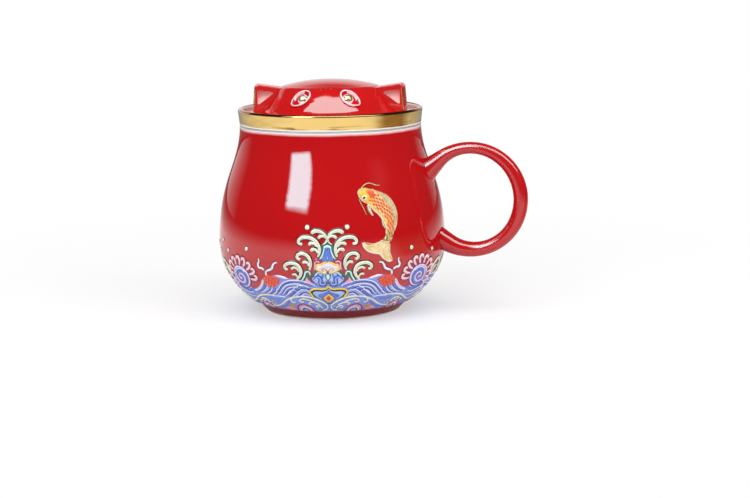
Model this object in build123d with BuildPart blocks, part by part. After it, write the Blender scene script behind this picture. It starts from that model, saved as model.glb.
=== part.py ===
"""Lidded tea mug with a hanging strainer and a cat-head lid, all porcelain.

Frame: origin on the mug's axis at the table, +Z up, handle along +X. Millimetres.
Every turned piece is drawn as half of its section, by (radius, height) points in the XZ plane.
"""
from build123d import *
from math import atan2, cos, radians, sin, sqrt, tan
import os

os.makedirs("parts", exist_ok=True)

# ---- mug body: sizes --------------------------------------------------------
foot_radius = 29.0           # outside of the foot ring, on the table
foot_flare = 3.6             # the foot ring is this much wider where it meets the belly
foot_height = 4.0
foot_ring_width = 3.4
foot_recess = 2.4            # the bare base stands this much above the table
foot_round = 0.5
belly_radius = 49.0
belly_height = 29.5          # height of the widest place
mouth_radius = 39.0
mouth_height = 80.8
mug_wall = 2.8
mug_floor = 4.0
floor_inset = 4.6            # the flat of the inside ends this far within the top of the foot
belly_rise = 23.5            # degrees above level, the way the belly leaves the foot
rim_round = 0.6
# Pull of each end of the two curves of the wall, as a share of the curve's height
foot_pull = 0.45
under_belly_pull = 0.27
over_belly_pull = 0.55
neck_pull = 0.335

# ---- handle: sizes ----------------------------------------------------------
ring_gap = 12.5              # from the belly's widest radius to the middle of the ring
ring_height = 48.9
ring_half_width = 21.3
ring_half_height = 21.8
rod_radius = 3.1             # at the outermost place of the ring
rod_swell = 0.3              # added at the bottom and taken off at the top
upper_end_angle = 130.0      # degrees round the ring, from where it runs straight into the wall
lower_end_angle = -118.0
lower_end_radius = 7.0       # the rod widens to these inside the wall
upper_end_radius = 8.5
# Places along the rod, as shares of its length from its lower end
lower_flare_share = 0.2
middle_share = 0.45
top_share = 0.65
upper_flare_share = 0.83

# ---- infuser: sizes ---------------------------------------------------------
collar_height = 6.7
collar_flare = 0.8           # the collar is this much wider at its lip than at its seat
collar_wall = 2.4
lip_round = 0.9
ledge_height = 2.8           # seat of the lid, above the mug's mouth
basket_clearance = 0.6       # in the mug's mouth
basket_wall = 2.4
basket_foot_radius = 30.0
basket_depth = 56.8          # below the mug's mouth
basket_round = 6.0           # outside corner at the basket's foot
hole_radius = 1.0
foot_hole_pitch = 6.2        # from one ring of holes to the next
foot_hole_rings = 3
wall_hole_rows = 2
wall_hole_count = 18         # in each row
wall_hole_pitch = 6.0
wall_hole_start = 10.0       # lowest row, above the basket's foot

# ---- lid: sizes -------------------------------------------------------------
lid_turn = 10.0              # degrees, the face looks this far round from -Y towards +X
lid_clearance = 0.5          # in the collar
brim_thickness = 2.4
brim_round = 0.6
skirt_depth = 5.0
skirt_clearance = 1.4        # inside the basket's mouth
lid_wall = 2.6
brim_width = 7.9             # from the brim's edge to the foot of the head's flank
flank_width = 7.4            # from there in to the edge of the crown
crown_edge_height = 10.4     # of that edge, above the brim
crown_height = 13.4          # top of the head, above the brim
crown_round = 5.0
flank_round = 4.5
ear_front = 8.0              # the ears' front faces stand this far before the axis
ear_depth = 10.5             # at the foot
ear_lean = 3.0               # the ears get this much thinner towards their tips
ear_margin = 3.6             # from the brim's edge to the ears' feet
ear_taper = 1.0              # the ears' tips stand this much further in
ear_height = 12.1            # of the tips, above the brim
ear_drop = 1.5               # the ears' top edges fall this much towards the head
ear_tip_round = 1.6
ear_edge_round = 0.5
ear_frame = 2.5              # border of the ear's front above its hollow
ear_rim = 0.9                # and beside it, at the outer side
ear_hollow = 4.2             # depth at the top, from nothing at its foot
ear_hollow_length = 7.6
ear_hollow_height = 6.6
ear_hollow_round = 0.5
eye_spread = 25.5            # degrees from the middle of the face to each eye
eye_height = 6.9             # middle of the eyes, above the brim
eye_half_length = 5.4
eye_half_width = 3.7
eye_slant = 45.0             # degrees
eye_ridge = 0.9
eye_corner_round = 1.6
eye_relief = 0.45
pupil_radius = 1.6
pupil_shift = 0.9            # from the middle of the eye towards the middle of the face

# ---- sizes worked out from those above --------------------------------------
foot_top_radius = foot_radius + foot_flare
floor_radius = foot_top_radius - floor_inset
inner_floor = foot_recess + mug_floor
mouth_bore = mouth_radius - mug_wall
spigot_radius = mouth_bore - basket_clearance
basket_bore = spigot_radius - basket_wall
basket_foot = mouth_height - basket_depth
ring_centre = belly_radius + ring_gap
collar_lip = mouth_height + collar_height
collar_top_radius = mouth_radius + collar_flare
ledge_top = mouth_height + ledge_height
lid_bore = collar_top_radius - collar_wall
brim_radius = lid_bore - lid_clearance
brim_top = ledge_top + brim_thickness
head_radius = brim_radius - brim_width
crown_radius = head_radius - flank_width
ear_foot_radius = brim_radius - ear_margin
ear_tip_radius = ear_foot_radius - ear_taper
skirt_radius = basket_bore - skirt_clearance
skirt_bore = skirt_radius - lid_wall
skirt_end = ledge_top - skirt_depth

# ---- planes -----------------------------------------------------------------
section = Plane.XZ
face_out = Vector(sin(radians(lid_turn)), -cos(radians(lid_turn)), 0)
face_side = Vector(cos(radians(lid_turn)), sin(radians(lid_turn)), 0)
face = Plane(origin=(0, 0, 0), x_dir=face_side, z_dir=face_out)
face_middle = Plane(origin=(0, 0, 0), x_dir=face_out, z_dir=-face_side)


# ---- turned sections --------------------------------------------------------
def turned_outline(corners):
    """Closed outline of a half section whose corners are (radius, height, rounding)."""
    points = [(radius, height) for radius, height, rounding in corners]
    roundings = [rounding for radius, height, rounding in corners]
    FilletPolyline(*points, radius=roundings, close=True)


def round_corner(sketch, corner, size):
    """Round the sketch's corner that lies at the given point."""
    fillet(sketch.vertices().sort_by_distance(corner)[0], size)


# ---- mug body ---------------------------------------------------------------
def wall_curve(inset, start_radius, start_height, rise):
    """The wall from the foot over the belly to the mouth, set in from the outside."""
    widest = belly_radius - inset
    low = belly_height - start_height
    high = mouth_height - belly_height
    pull_out = foot_pull * low * cos(radians(rise))
    pull_up = foot_pull * low * sin(radians(rise))
    Bezier(
        (start_radius, start_height),
        (start_radius + pull_out, start_height + pull_up),
        (widest, belly_height - under_belly_pull * low),
        (widest, belly_height),
    )
    Bezier(
        (widest, belly_height),
        (widest, belly_height + over_belly_pull * high),
        (mouth_radius - inset, mouth_height - neck_pull * high),
        (mouth_radius - inset, mouth_height),
    )


with BuildPart() as mug_body:
    with BuildSketch(section):
        with BuildLine():
            Polyline(
                (floor_radius, inner_floor),
                (0, inner_floor),
                (0, foot_recess),
                (foot_radius - foot_ring_width, foot_recess),
                (foot_radius - foot_ring_width, 0),
                (foot_radius, 0),
                (foot_top_radius, foot_height),
            )
            wall_curve(0, foot_top_radius, foot_height, belly_rise)
            Line((mouth_radius, mouth_height), (mouth_bore, mouth_height))
            wall_curve(mug_wall, floor_radius, inner_floor, 0)
        make_face()
    revolve(axis=Axis.Z)
    fillet(mug_body.edges().group_by(Axis.Z)[-1], rim_round)
    fillet(mug_body.edges().group_by(Axis.Z)[0], foot_round)

# The filled outer form of the mug, which the handle is cut to
with BuildPart() as mug_form:
    with BuildSketch(section):
        with BuildLine():
            Polyline(
                (foot_top_radius, foot_height),
                (0, foot_height),
                (0, mouth_height),
                (mouth_radius, mouth_height),
            )
            wall_curve(0, foot_top_radius, foot_height, belly_rise)
        make_face()
    revolve(axis=Axis.Z)

# ---- handle -----------------------------------------------------------------
def ring_end(angle, way):
    """Place and heading where the ring stops, leaving it forwards (1) or backwards (-1)."""
    turn = radians(angle)
    place = Vector(
        ring_centre + ring_half_width * cos(turn),
        0,
        ring_height + ring_half_height * sin(turn),
    )
    heading = Vector(-ring_half_width * sin(turn), 0, ring_half_height * cos(turn)) * way
    return place, heading.normalized()


def run_in(place, heading):
    """Straight run from the ring's end on into the wall, as deep as the mouth's bore."""
    return place + heading * ((place.X - mouth_bore) / -heading.X)


# How thick the rod is, from its lower end round to its upper end
rod_stations = [
    (0, lower_end_radius),
    (lower_flare_share, rod_radius + rod_swell),
    (middle_share, rod_radius),
    (top_share, rod_radius - rod_swell),
    (upper_flare_share, rod_radius - rod_swell),
    (1, upper_end_radius),
]
lower_place, lower_heading = ring_end(lower_end_angle, -1)
upper_place, upper_heading = ring_end(upper_end_angle, 1)

with BuildPart() as handle:
    with BuildLine(section) as ring:
        Line(run_in(lower_place, lower_heading), lower_place)
        EllipticalCenterArc(
            (ring_centre, ring_height),
            ring_half_width,
            ring_half_height,
            start_angle=lower_end_angle,
            arc_size=upper_end_angle - lower_end_angle,
        )
        Line(upper_place, run_in(upper_place, upper_heading))
    path = ring.wire()
    for share, radius in rod_stations:
        with BuildSketch(Plane(origin=path @ share, x_dir=(0, 1, 0), z_dir=path % share)):
            Circle(radius)
    sweep(path=path, multisection=True)
    add(mug_form.part, mode=Mode.SUBTRACT)

# ---- infuser ----------------------------------------------------------------
basket_inner_foot = basket_foot + basket_wall
inner_foot_radius = basket_foot_radius - basket_wall
drill_length = 4 * basket_wall

with BuildPart() as infuser:
    # Section as (radius, height, rounding of that corner)
    basket_corners = [
        (0, basket_foot, 0),
        (basket_foot_radius, basket_foot, basket_round),
        (spigot_radius, mouth_height, 0),
        (mouth_radius, mouth_height, 0),
        (collar_top_radius, collar_lip, lip_round),
        (lid_bore, collar_lip, lip_round),
        (lid_bore, ledge_top, 0),
        (basket_bore, ledge_top, 0),
        (inner_foot_radius, basket_inner_foot, basket_round - basket_wall),
        (0, basket_inner_foot, 0),
    ]
    with BuildSketch(section):
        with BuildLine():
            turned_outline(basket_corners)
        make_face()
    revolve(axis=Axis.Z)
    # Rings of holes in the basket's foot
    with BuildSketch(Plane.XY.offset(basket_foot)):
        Circle(hole_radius)
        for ring_number in range(1, foot_hole_rings + 1):
            with PolarLocations(ring_number * foot_hole_pitch, 6 * ring_number):
                Circle(hole_radius)
    extrude(amount=basket_wall, mode=Mode.SUBTRACT)
    # Staggered rows of holes through the basket's wall
    for row in range(wall_hole_rows):
        row_height = basket_foot + wall_hole_start + row * wall_hole_pitch
        stagger = (row % 2) * 180 / wall_hole_count
        with Locations((0, 0, row_height)):
            with PolarLocations(basket_foot_radius, wall_hole_count, start_angle=stagger):
                Cylinder(hole_radius, drill_length, rotation=(0, 90, 0), mode=Mode.SUBTRACT)

# ---- lid --------------------------------------------------------------------
flank_slope = atan2(crown_edge_height, head_radius - crown_radius)


def head_outline(inset):
    """Half of the head's section, set in from the outside, closed along the axis."""
    crown_top = brim_top + crown_height - inset
    crown_edge = brim_top + crown_edge_height - inset
    edge_radius = crown_radius - inset * (1 / sin(flank_slope) - 1 / tan(flank_slope))
    foot_radius_in = head_radius - inset / sin(flank_slope)
    TangentArc((0, crown_top), (edge_radius, crown_edge), tangent=(1, 0))
    Line((edge_radius, crown_edge), (foot_radius_in, brim_top))
    return (edge_radius, crown_edge), (foot_radius_in, brim_top), (0, crown_top)


ear_tip_height = brim_top + ear_height
ear_sunk_foot = brim_top - brim_thickness / 2
ear_root = crown_radius / 2
ear_fall = ear_drop / (ear_tip_radius - crown_radius)
ear_tip_side = sqrt(ear_tip_radius**2 - ear_front**2)
hollow_top = ear_tip_height - ear_frame
hollow_side = ear_tip_side - ear_rim
hollow_foot = hollow_top - ear_hollow_height

# The triangular hollow of one ear, with a floor that leans back
with BuildPart() as ear_hollow_form:
    with BuildSketch(face.offset(ear_front)):
        with BuildLine():
            FilletPolyline(
                (hollow_side, hollow_top),
                (hollow_side - ear_hollow_length, hollow_top - ear_fall * ear_hollow_length),
                (hollow_side, hollow_foot),
                radius=ear_hollow_round,
                close=True,
            )
        make_face()
    extrude(amount=-ear_hollow)
    with BuildSketch(face_middle):
        with BuildLine():
            Polyline(
                (ear_front, hollow_foot),
                (ear_front, hollow_top),
                (ear_front - ear_hollow, hollow_top),
                close=True,
            )
        make_face()
    extrude(amount=ear_foot_radius, both=True, mode=Mode.INTERSECT)

with BuildPart() as ears:
    # Front outline of one ear, its outer side still uncut
    with BuildSketch(face.offset(ear_front)):
        with BuildLine():
            Polyline(
                (ear_root, ear_sunk_foot),
                (ear_foot_radius, ear_sunk_foot),
                (ear_foot_radius, ear_tip_height),
                (ear_tip_radius, ear_tip_height),
                (ear_root, ear_tip_height - ear_fall * (ear_tip_radius - ear_root)),
                close=True,
            )
        make_face()
    extrude(amount=-ear_depth)
    # Seen from the side the back leans forward
    with BuildSketch(face_middle):
        with BuildLine():
            Polyline(
                (ear_front, ear_sunk_foot),
                (ear_front, ear_tip_height),
                (ear_front - ear_depth + ear_lean, ear_tip_height),
                (ear_front - ear_depth, ear_sunk_foot),
                close=True,
            )
        make_face()
    extrude(amount=ear_foot_radius, both=True, mode=Mode.INTERSECT)
    # The outer side follows the round of the lid
    with BuildSketch(section):
        with BuildLine():
            Polyline(
                (0, ear_sunk_foot),
                (ear_foot_radius, ear_sunk_foot),
                (ear_tip_radius, ear_tip_height),
                (0, ear_tip_height),
                close=True,
            )
        make_face()
    revolve(axis=Axis.Z, mode=Mode.INTERSECT)
    tip = face.offset(ear_front - ear_depth / 2).from_local_coords((ear_tip_side, ear_tip_height))
    fillet(ears.edges().sort_by_distance(tip)[0], ear_tip_round)
    along_face = Axis((0, 0, 0), face_out)
    fillet(ears.faces().sort_by(along_face)[-1].edges(), ear_edge_round)
    add(ear_hollow_form.part, mode=Mode.SUBTRACT)
    mirror(about=face_middle)

# Plane on the flank at the middle of the eye on the handle's side
eye_turn = radians(lid_turn + eye_spread)
eye_out = Vector(sin(eye_turn), -cos(eye_turn), 0)
eye_side = Vector(cos(eye_turn), sin(eye_turn), 0)
eye_radius = head_radius - eye_height / tan(flank_slope)
eye_plane = Plane(
    origin=eye_out * eye_radius + Vector(0, 0, brim_top + eye_height),
    x_dir=eye_side,
    z_dir=eye_out * sin(flank_slope) + Vector(0, 0, cos(flank_slope)),
)

slant = radians(eye_slant)
inner_corner = (-eye_half_length * cos(slant), eye_half_length * sin(slant))
outer_corner = (eye_half_length * cos(slant), -eye_half_length * sin(slant))

with BuildPart() as eyes:
    # Almond ridge of two arcs, its inner end high and its outer end low
    with BuildSketch(eye_plane):
        with BuildLine():
            SagittaArc(inner_corner, outer_corner, eye_half_width)
            SagittaArc(outer_corner, inner_corner, eye_half_width)
        almond = make_face()
        fillet(almond.vertices(), eye_corner_round)
        offset(amount=-eye_ridge, mode=Mode.SUBTRACT)
        with Locations((-pupil_shift, 0)):
            Circle(pupil_radius)
    extrude(amount=lid_wall, both=True)
    # They stand out from the head by their relief all over
    with BuildSketch(section) as relief_section:
        with BuildLine():
            relief_corner, relief_foot, relief_top = head_outline(-eye_relief)
            Polyline(relief_foot, (0, brim_top), relief_top)
        make_face()
        round_corner(relief_section, relief_corner, crown_round + eye_relief)
    revolve(axis=Axis.Z, mode=Mode.INTERSECT)
    mirror(about=face_middle)

with BuildPart() as lid:
    with BuildSketch(section) as lid_section:
        with BuildLine():
            crown_corner, flank_corner, top = head_outline(0)
            Polyline(
                flank_corner,
                (brim_radius, brim_top),
                (brim_radius, ledge_top),
                (skirt_radius, ledge_top),
                (skirt_radius, skirt_end),
                (0, skirt_end),
                top,
            )
        make_face()
        round_corner(lid_section, crown_corner, crown_round)
        round_corner(lid_section, flank_corner, flank_round)
        round_corner(lid_section, (brim_radius, brim_top), brim_round)
        round_corner(lid_section, (skirt_radius, skirt_end), brim_round)
    revolve(axis=Axis.Z)
    add(ears.part)
    add(eyes.part)
    # Hollow under the head and inside the skirt
    with BuildSketch(section) as hollow_section:
        with BuildLine():
            hollow_corner, hollow_foot, hollow_crown = head_outline(lid_wall)
            Polyline(
                hollow_foot,
                (skirt_bore, ledge_top),
                (skirt_bore, skirt_end),
                (0, skirt_end),
                hollow_crown,
            )
        make_face()
        round_corner(hollow_section, hollow_corner, crown_round - lid_wall)
    revolve(axis=Axis.Z, mode=Mode.SUBTRACT)

# ---- the finished pieces ----------------------------------------------------
mug_body.part.label = "mug_body"
handle.part.label = "handle"
infuser.part.label = "infuser"
lid.part.label = "lid"

export_step(mug_body.part, "parts/mug_body.step")
export_step(handle.part, "parts/handle.step")
export_step(infuser.part, "parts/infuser.step")
export_step(lid.part, "parts/lid.step")
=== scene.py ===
"""Looks of the lidded tea mug: glazes, gold lustre, raised enamel, studio and camera.

Sizes are in millimetres in the part's own frame and become metres where a mesh is made.
The enamel is drawn flat, in millimetres round the belly and up the wall from the foot's top
edge, and is then laid on the wall.
"""
import math

import bpy
import numpy as np
from mathutils import Matrix, Vector
from mathutils.bvhtree import BVHTree
from mathutils.geometry import delaunay_2d_cdt


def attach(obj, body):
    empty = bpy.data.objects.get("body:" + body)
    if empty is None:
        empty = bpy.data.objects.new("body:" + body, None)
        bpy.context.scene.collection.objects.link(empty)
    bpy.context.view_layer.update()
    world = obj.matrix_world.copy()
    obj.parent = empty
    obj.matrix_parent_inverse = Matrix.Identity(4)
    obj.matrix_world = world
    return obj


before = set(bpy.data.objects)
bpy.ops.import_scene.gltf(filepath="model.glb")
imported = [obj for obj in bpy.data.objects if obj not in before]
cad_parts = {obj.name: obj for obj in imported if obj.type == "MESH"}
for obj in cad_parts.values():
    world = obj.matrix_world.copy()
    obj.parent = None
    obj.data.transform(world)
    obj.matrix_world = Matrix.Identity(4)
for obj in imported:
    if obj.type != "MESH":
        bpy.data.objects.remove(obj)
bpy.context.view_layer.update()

MM = 0.001

# ---- sizes of the solids that the looks follow --------------------------------
FOOT_RADIUS = 29.0
FOOT_TOP_RADIUS = 32.6
FOOT_HEIGHT = 4.0
BELLY_RADIUS = 49.0
BELLY_HEIGHT = 29.5
MOUTH_RADIUS = 39.0
MOUTH_HEIGHT = 80.8
MUG_WALL = 2.8
BELLY_RISE = math.radians(23.5)
FOOT_PULL = 0.45
UNDER_BELLY_PULL = 0.27
OVER_BELLY_PULL = 0.55
NECK_PULL = 0.335
COLLAR_BORE = 37.4
LID_TURN = math.radians(10.0)     # the face looks this far round from -Y towards +X
BRIM_TOP = 86.0
HEAD_RADIUS = 29.0
FLANK_SLOPE = math.radians(54.6)
EAR_FRONT = 8.0                   # the ears' front faces stand this far before the axis
EAR_HEIGHT = 12.1
EAR_TIP_RADIUS = 32.3
EAR_FOOT_RADIUS = 33.3
HOLLOW_SIDE = 30.4                # outer side of the ears' triangular hollows
HOLLOW_FOOT = 3.0                 # their lowest corner, above the brim
HOLLOW_TOP = 9.6
HOLLOW_RISE = 0.728               # of their inner side
EYE_ALONG = 10.7                  # middle of an eye, from the middle of the face round the head
EYE_UP = 8.5                      # and up the flank
PUPIL_SHIFT = -0.9
RIDGE = 0.6                       # just above the eyes' ridges
# Middle of the lid's shell as (height, radius) in metres, between its inside and its outside
LID_MARKS = (
    (0.0, 0.031), (0.0836, 0.0305), (0.086, 0.0274), (0.0948, 0.0212), (0.0966, 0.018),
    (0.098, 0.002), (0.0981, 0.0),
)

# ---- where the finishes, painted shade and painted shadow change, as heights in metres from and to ---
FOOT_BARE = (0.0006, 0.0008)
# painted shade: the red glaze is painted darker below this, near the foot
FOOT_PAINTED_SHADE = (0.0042, 0.0050)
MOUTH_PINK = (0.0786, 0.0796)
MOUTH_BARE = (0.0797, 0.0798)
MOUTH_SEAM = (0.0799, 0.0801)     # painted shadow under the strainer's collar
LID_UNDERSIDE = (0.0837, 0.0838)
COLLAR_BARE = (0.0808, 0.0809)
COLLAR_GOLD = (0.0813, 0.0814)
GOLD_STREAKS = (0.0832, 0.0818)
# painted shade: the gold is painted darker and browner above this, on the collar's lip beside the lid
LIP_PAINTED_SHADE = (0.0866, 0.0869)
GLAZE_WOBBLE = 0.00012            # how far a glaze's edge wanders up and down
GOLD_WOBBLE = 0.00015
DOME_MIDDLE = 5.2                 # of the flank's dome, above the brim
DOME_SPAN = 0.009                 # half a wave of it, in metres
DOME_AHEAD = (0.0085, 0.016)      # it grows between these distances before the axis
DOME_LIFT = 0.00028
GLAZE_RIPPLE = 0.00002

# ---- the enamel's layout --------------------------------------------------------
DECOR_TURN = math.radians(12.5)   # the middle of the border's front, from -Y towards +X
DECOR_RADIUS = 48.0               # one millimetre across is this part of a turn
QUARTER = DECOR_RADIUS * math.pi / 2
SUNK = -0.1                       # how deep an enamel solid's edge sits in the glaze
SHARP_ANGLE = math.radians(55)
END_PLACES = (0, 0.12, 0.4, 1)    # rows in a stroke's round end, in shares of its radius
# Rings of a bead, in shares of its radius and height
BEAD_LEVELS = ((1.0, 0.0), (0.86, 0.52), (0.5, 0.87))
EAR_LINE_ROWS = 14
EAR_LINE_SIDES = 8
EAR_LINE_RADIUS = 0.42
EAR_LINE_INSET = 0.3              # inside the ear's outer edge
EAR_LINE_SINK = 0.22              # behind the ear's front

# ---- the view -----------------------------------------------------------------
VIEW_TURN = 15.0                  # degrees, the camera stands this far round towards the handle
VIEW_DISTANCE = 796.6
VIEW_HEIGHT = 161.3
VIEW_YAW = 1.33
VIEW_PITCH = 9.7
VIEW_ROLL = -0.73
FOCAL_PIXELS = 1853.6
IMAGE_WIDTH = 750
SENSOR = 36.0


# ---- colours ------------------------------------------------------------------
def srgb(red, green, blue):
    """Linear colour of an 8-bit display colour."""
    def linear(value):
        share = value / 255
        return share / 12.92 if share <= 0.04045 else ((share + 0.055) / 1.055) ** 2.4
    return (linear(red), linear(green), linear(blue), 1.0)


BODY_RED = srgb(186, 15, 19)
LID_RED = srgb(204, 20, 22)
GOLD = srgb(246, 212, 138)
WHITE_GLAZE = srgb(240, 240, 236)
BARE = srgb(250, 244, 236)
# grey of the painted shadow under the strainer's collar
SEAM_PAINTED_SHADOW = srgb(178, 170, 166)
WHITE = (1, 1, 1, 1)
AMBIENT = 0.5                     # even light on everything that isn't a mirror
SHADOW_LIFT = 0.33                # how far the paper's shadow is lightened for the camera
GLAZE_IOR = 1.68
GLAZE_ROUGH = 0.04
NOISE_MOST = (0.3, 0.7)           # noise seldom leaves these values
CURVE_SCALE = 10                  # a float curve's unit is a tenth of a metre

# ---- what the glazes mirror -------------------------------------------------------
# Boxes as azimuth and elevation in degrees, the tangents of their half angles, and their softness
STRIP = (-38.0, 31.7, 0.205, 0.275, 0.035)
STRIP_GLOW = ((0.42, 0.92, 1.0, 1), 12.2)
WINDOW = (60, 27, 0.14, 0.02, 0.14)
WINDOW_GLOW = (WHITE, 0.35)
# The ceiling panel, measured on a plane one unit above the mug, with less than zero towards the camera
PANEL_GLOW = ((0.46, 0.95, 0.92, 1), 7.4)
PANEL_WIDENS = (-0.31, -0.50)     # from its far end on
PANEL_HALF = (0.48, 1.50)         # half its width at these two places
PANEL_MIDDLE = 0.08
PANEL_SOFT = 0.03
PANEL_SKEW = 0.14                 # how much further away its far edge reaches towards the corners
PANEL_FAR = (-0.30, -0.33)
PANEL_NEAR = (-0.95, -0.88)
BACKDROP_TURN = 186               # degrees from the camera's side to the middle of the paper behind
BACKDROP_SIDES = (0.52, 1.0)
BACKDROP_TOP = (0.485, 0.385)
DARK_AND_BRIGHT = (0.045, 0.90)   # the room, and the paper in it
# The paper under the mug, by distance from the axis in metres
FLOOR_HALF = 3.0
PAPER = (0.86, 0.86, 0.86, 1)
PAPER_REACH = 0.32                # mirrored, it is as bright as this far out and then fades
PAPER_BRIGHTEST = 1.05
PAPER_RIGHT = (0.5, 0.95, 1.0, 0.75)    # to the right of the view it dims by the last of these
BROWN = (0.42, 0.29, 0.17, 1)
BROWN_TURN = 83                   # degrees from the camera's side to a brown wedge of it
BROWN_WEDGE = (0.87, 0.97)
MIRRORED_FROM = (0.10, 0.18)      # here its own light takes over in the glazes
PLAIN_FROM = (0.16, 0.30)         # and here plain white does for the camera
# Lamps as name, azimuth and elevation, distance, width and height in metres, and strength
LAMPS = (
    ("key_box", -38, 35, 1.2, 0.9, 0.9, 1.7),
    ("fill_box", 58, 30, 1.2, 0.9, 0.9, 1.6),
    ("top_box", -8, 72, 1.2, 1.2, 1.0, 1.5),
)
LAMP_AIM = 0.05                   # height in metres that the lamps point at

# Each enamel as the two 8-bit display colours that it is clouded between
ENAMELS = {
    "cream": ((246, 243, 224), (232, 230, 206)),
    "blush": ((255, 222, 228), (250, 204, 214)),
    "sage": ((206, 212, 184), (188, 196, 168)),
    "ink": ((44, 12, 24), (30, 8, 18)),
    "navy": ((52, 64, 150), (66, 76, 164)),
    "water": ((118, 142, 222), (136, 162, 232)),
    "blue": ((88, 116, 214), (104, 138, 226)),
    "sky": ((158, 188, 244), (182, 208, 250)),
    "lilac": ((250, 244, 254), (238, 228, 250)),
    "mint": ((206, 240, 234), (222, 248, 242)),
    "green": ((66, 118, 104), (48, 92, 82)),
    "pink": ((236, 150, 182), (246, 186, 210)),
    "rose": ((180, 62, 96), (160, 48, 84)),
    "yellow": ((246, 212, 92), (236, 190, 66)),
    "ochre": ((214, 160, 70), (190, 130, 52)),
    "orange": ((236, 88, 46), (244, 116, 60)),
    "coral": ((226, 76, 56), (210, 56, 44)),
    "straw": ((246, 218, 160), (230, 190, 122)),
    "silver": ((222, 210, 178), (196, 184, 150)),
    "slate": ((112, 104, 96), (88, 82, 78)),
    "white": ((250, 248, 244), (240, 238, 236)),
    "black": ((20, 12, 14), (34, 20, 22)),
}


# ---- materials ----------------------------------------------------------------
class Graph:
    """Short hand for building a node tree."""

    def __init__(self, tree):
        self.tree = tree

    def add(self, kind, **settings):
        node = self.tree.nodes.new(kind)
        for key, value in settings.items():
            if hasattr(node, key):
                setattr(node, key, value)
            else:
                node.inputs[key.replace("_", " ")].default_value = value
        return node

    def link(self, source, target):
        self.tree.links.new(source, target)

    def feed(self, value, socket):
        if isinstance(value, (int, float)):
            socket.default_value = value
        else:
            self.link(value, socket)

    def span(self, value, low, high, to_low=0.0, to_high=1.0):
        """Maps value from low..high to to_low..to_high, clamped."""
        node = self.add("ShaderNodeMapRange", clamp=True)
        self.link(value, node.inputs["Value"])
        for key, number in zip(("From Min", "From Max", "To Min", "To Max"), (low, high, to_low, to_high)):
            node.inputs[key].default_value = number
        return node.outputs["Result"]

    def math(self, operation, first, second=0):
        node = self.add("ShaderNodeMath", operation=operation)
        self.feed(first, node.inputs[0])
        self.feed(second, node.inputs[1])
        return node.outputs[0]

    def dot(self, vector, along):
        """How far the vector socket reaches along a fixed direction."""
        node = self.add("ShaderNodeVectorMath", operation="DOT_PRODUCT")
        self.link(vector, node.inputs[0])
        node.inputs[1].default_value = along
        return node.outputs["Value"]

    def glow(self, colour, strength):
        """Light of its own, in a world or on a surface."""
        node = self.add("ShaderNodeEmission", Color=colour)
        self.feed(strength, node.inputs["Strength"])
        return node.outputs[0]

    def choose(self, share, first, second):
        """Mix of two shaders."""
        node = self.add("ShaderNodeMixShader")
        self.feed(share, node.inputs[0])
        self.link(first, node.inputs[1])
        self.link(second, node.inputs[2])
        return node.outputs[0]


class Nodes(Graph):
    """One material's node tree."""

    def __init__(self, name):
        self.material = bpy.data.materials.new(name)
        self.material.use_nodes = True
        super().__init__(self.material.node_tree)
        self.shader = self.tree.nodes["Principled BSDF"]
        self.place = self.add("ShaderNodeTexCoord").outputs["Object"]

    def set(self, **values):
        for key, value in values.items():
            self.shader.inputs[key.replace("_", " ")].default_value = value

    def noise(self, scale, detail=2.0, stretch=None):
        """Noise over the object, in features of about 1 / scale metres."""
        node = self.add("ShaderNodeTexNoise", Scale=scale, Detail=detail)
        if stretch is None:
            self.link(self.place, node.inputs["Vector"])
        else:
            mapping = self.add("ShaderNodeMapping")
            mapping.inputs["Scale"].default_value = stretch
            self.link(self.place, mapping.inputs["Vector"])
            self.link(mapping.outputs["Vector"], node.inputs["Vector"])
        return node.outputs["Fac"]

    def drift(self, scale, low, high, detail=2.0):
        """A value that wanders between low and high over the object."""
        return self.span(self.noise(scale, detail), *NOISE_MOST, low, high)

    def blend(self, share, first, second):
        """Colour between two colours or sockets."""
        node = self.add("ShaderNodeMix", data_type="RGBA")
        self.link(share, node.inputs["Factor"])
        for socket, colour in ((node.inputs[6], first), (node.inputs[7], second)):
            if isinstance(colour, tuple):
                socket.default_value = colour
            else:
                self.link(colour, socket)
        return node.outputs[2]

    def bump(self, height, strength, distance):
        node = self.add("ShaderNodeBump", Strength=strength, Distance=distance)
        self.link(height, node.inputs["Height"])
        self.link(node.outputs["Normal"], self.shader.inputs["Normal"])

    def height(self):
        """The z coordinate in metres."""
        node = self.add("ShaderNodeSeparateXYZ")
        self.link(self.place, node.inputs["Vector"])
        return node.outputs["Z"]

    def radius(self):
        """Distance from the mug's axis in metres."""
        flat = self.add("ShaderNodeVectorMath", operation="MULTIPLY")
        self.link(self.place, flat.inputs[0])
        flat.inputs[1].default_value = (1, 1, 0)
        length = self.add("ShaderNodeVectorMath", operation="LENGTH")
        self.link(flat.outputs["Vector"], length.inputs[0])
        return length.outputs["Value"]

    def colour(self, socket):
        self.link(socket, self.shader.inputs["Base Color"])

    def rough(self, socket):
        self.link(socket, self.shader.inputs["Roughness"])


def beyond(nodes, height, marks):
    """Whether a point lies outside a turned form given by (height, radius) marks in metres."""
    curve = nodes.add("ShaderNodeFloatCurve")
    nodes.link(nodes.span(height, 0.0, 1 / CURVE_SCALE), curve.inputs["Value"])
    line = curve.mapping.curves[0]
    places = [(along * CURVE_SCALE, radius * CURVE_SCALE) for along, radius in marks]
    line.points[0].location = (0.0, places[0][1])
    line.points[1].location = (1.0, places[-1][1])
    for place in places:
        line.points.new(*place)
    for point in line.points:
        point.handle_type = "VECTOR"
    curve.mapping.update()
    limit = nodes.math("MULTIPLY", curve.outputs["Value"], 1 / CURVE_SCALE)
    return nodes.math("GREATER_THAN", nodes.radius(), limit)


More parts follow.
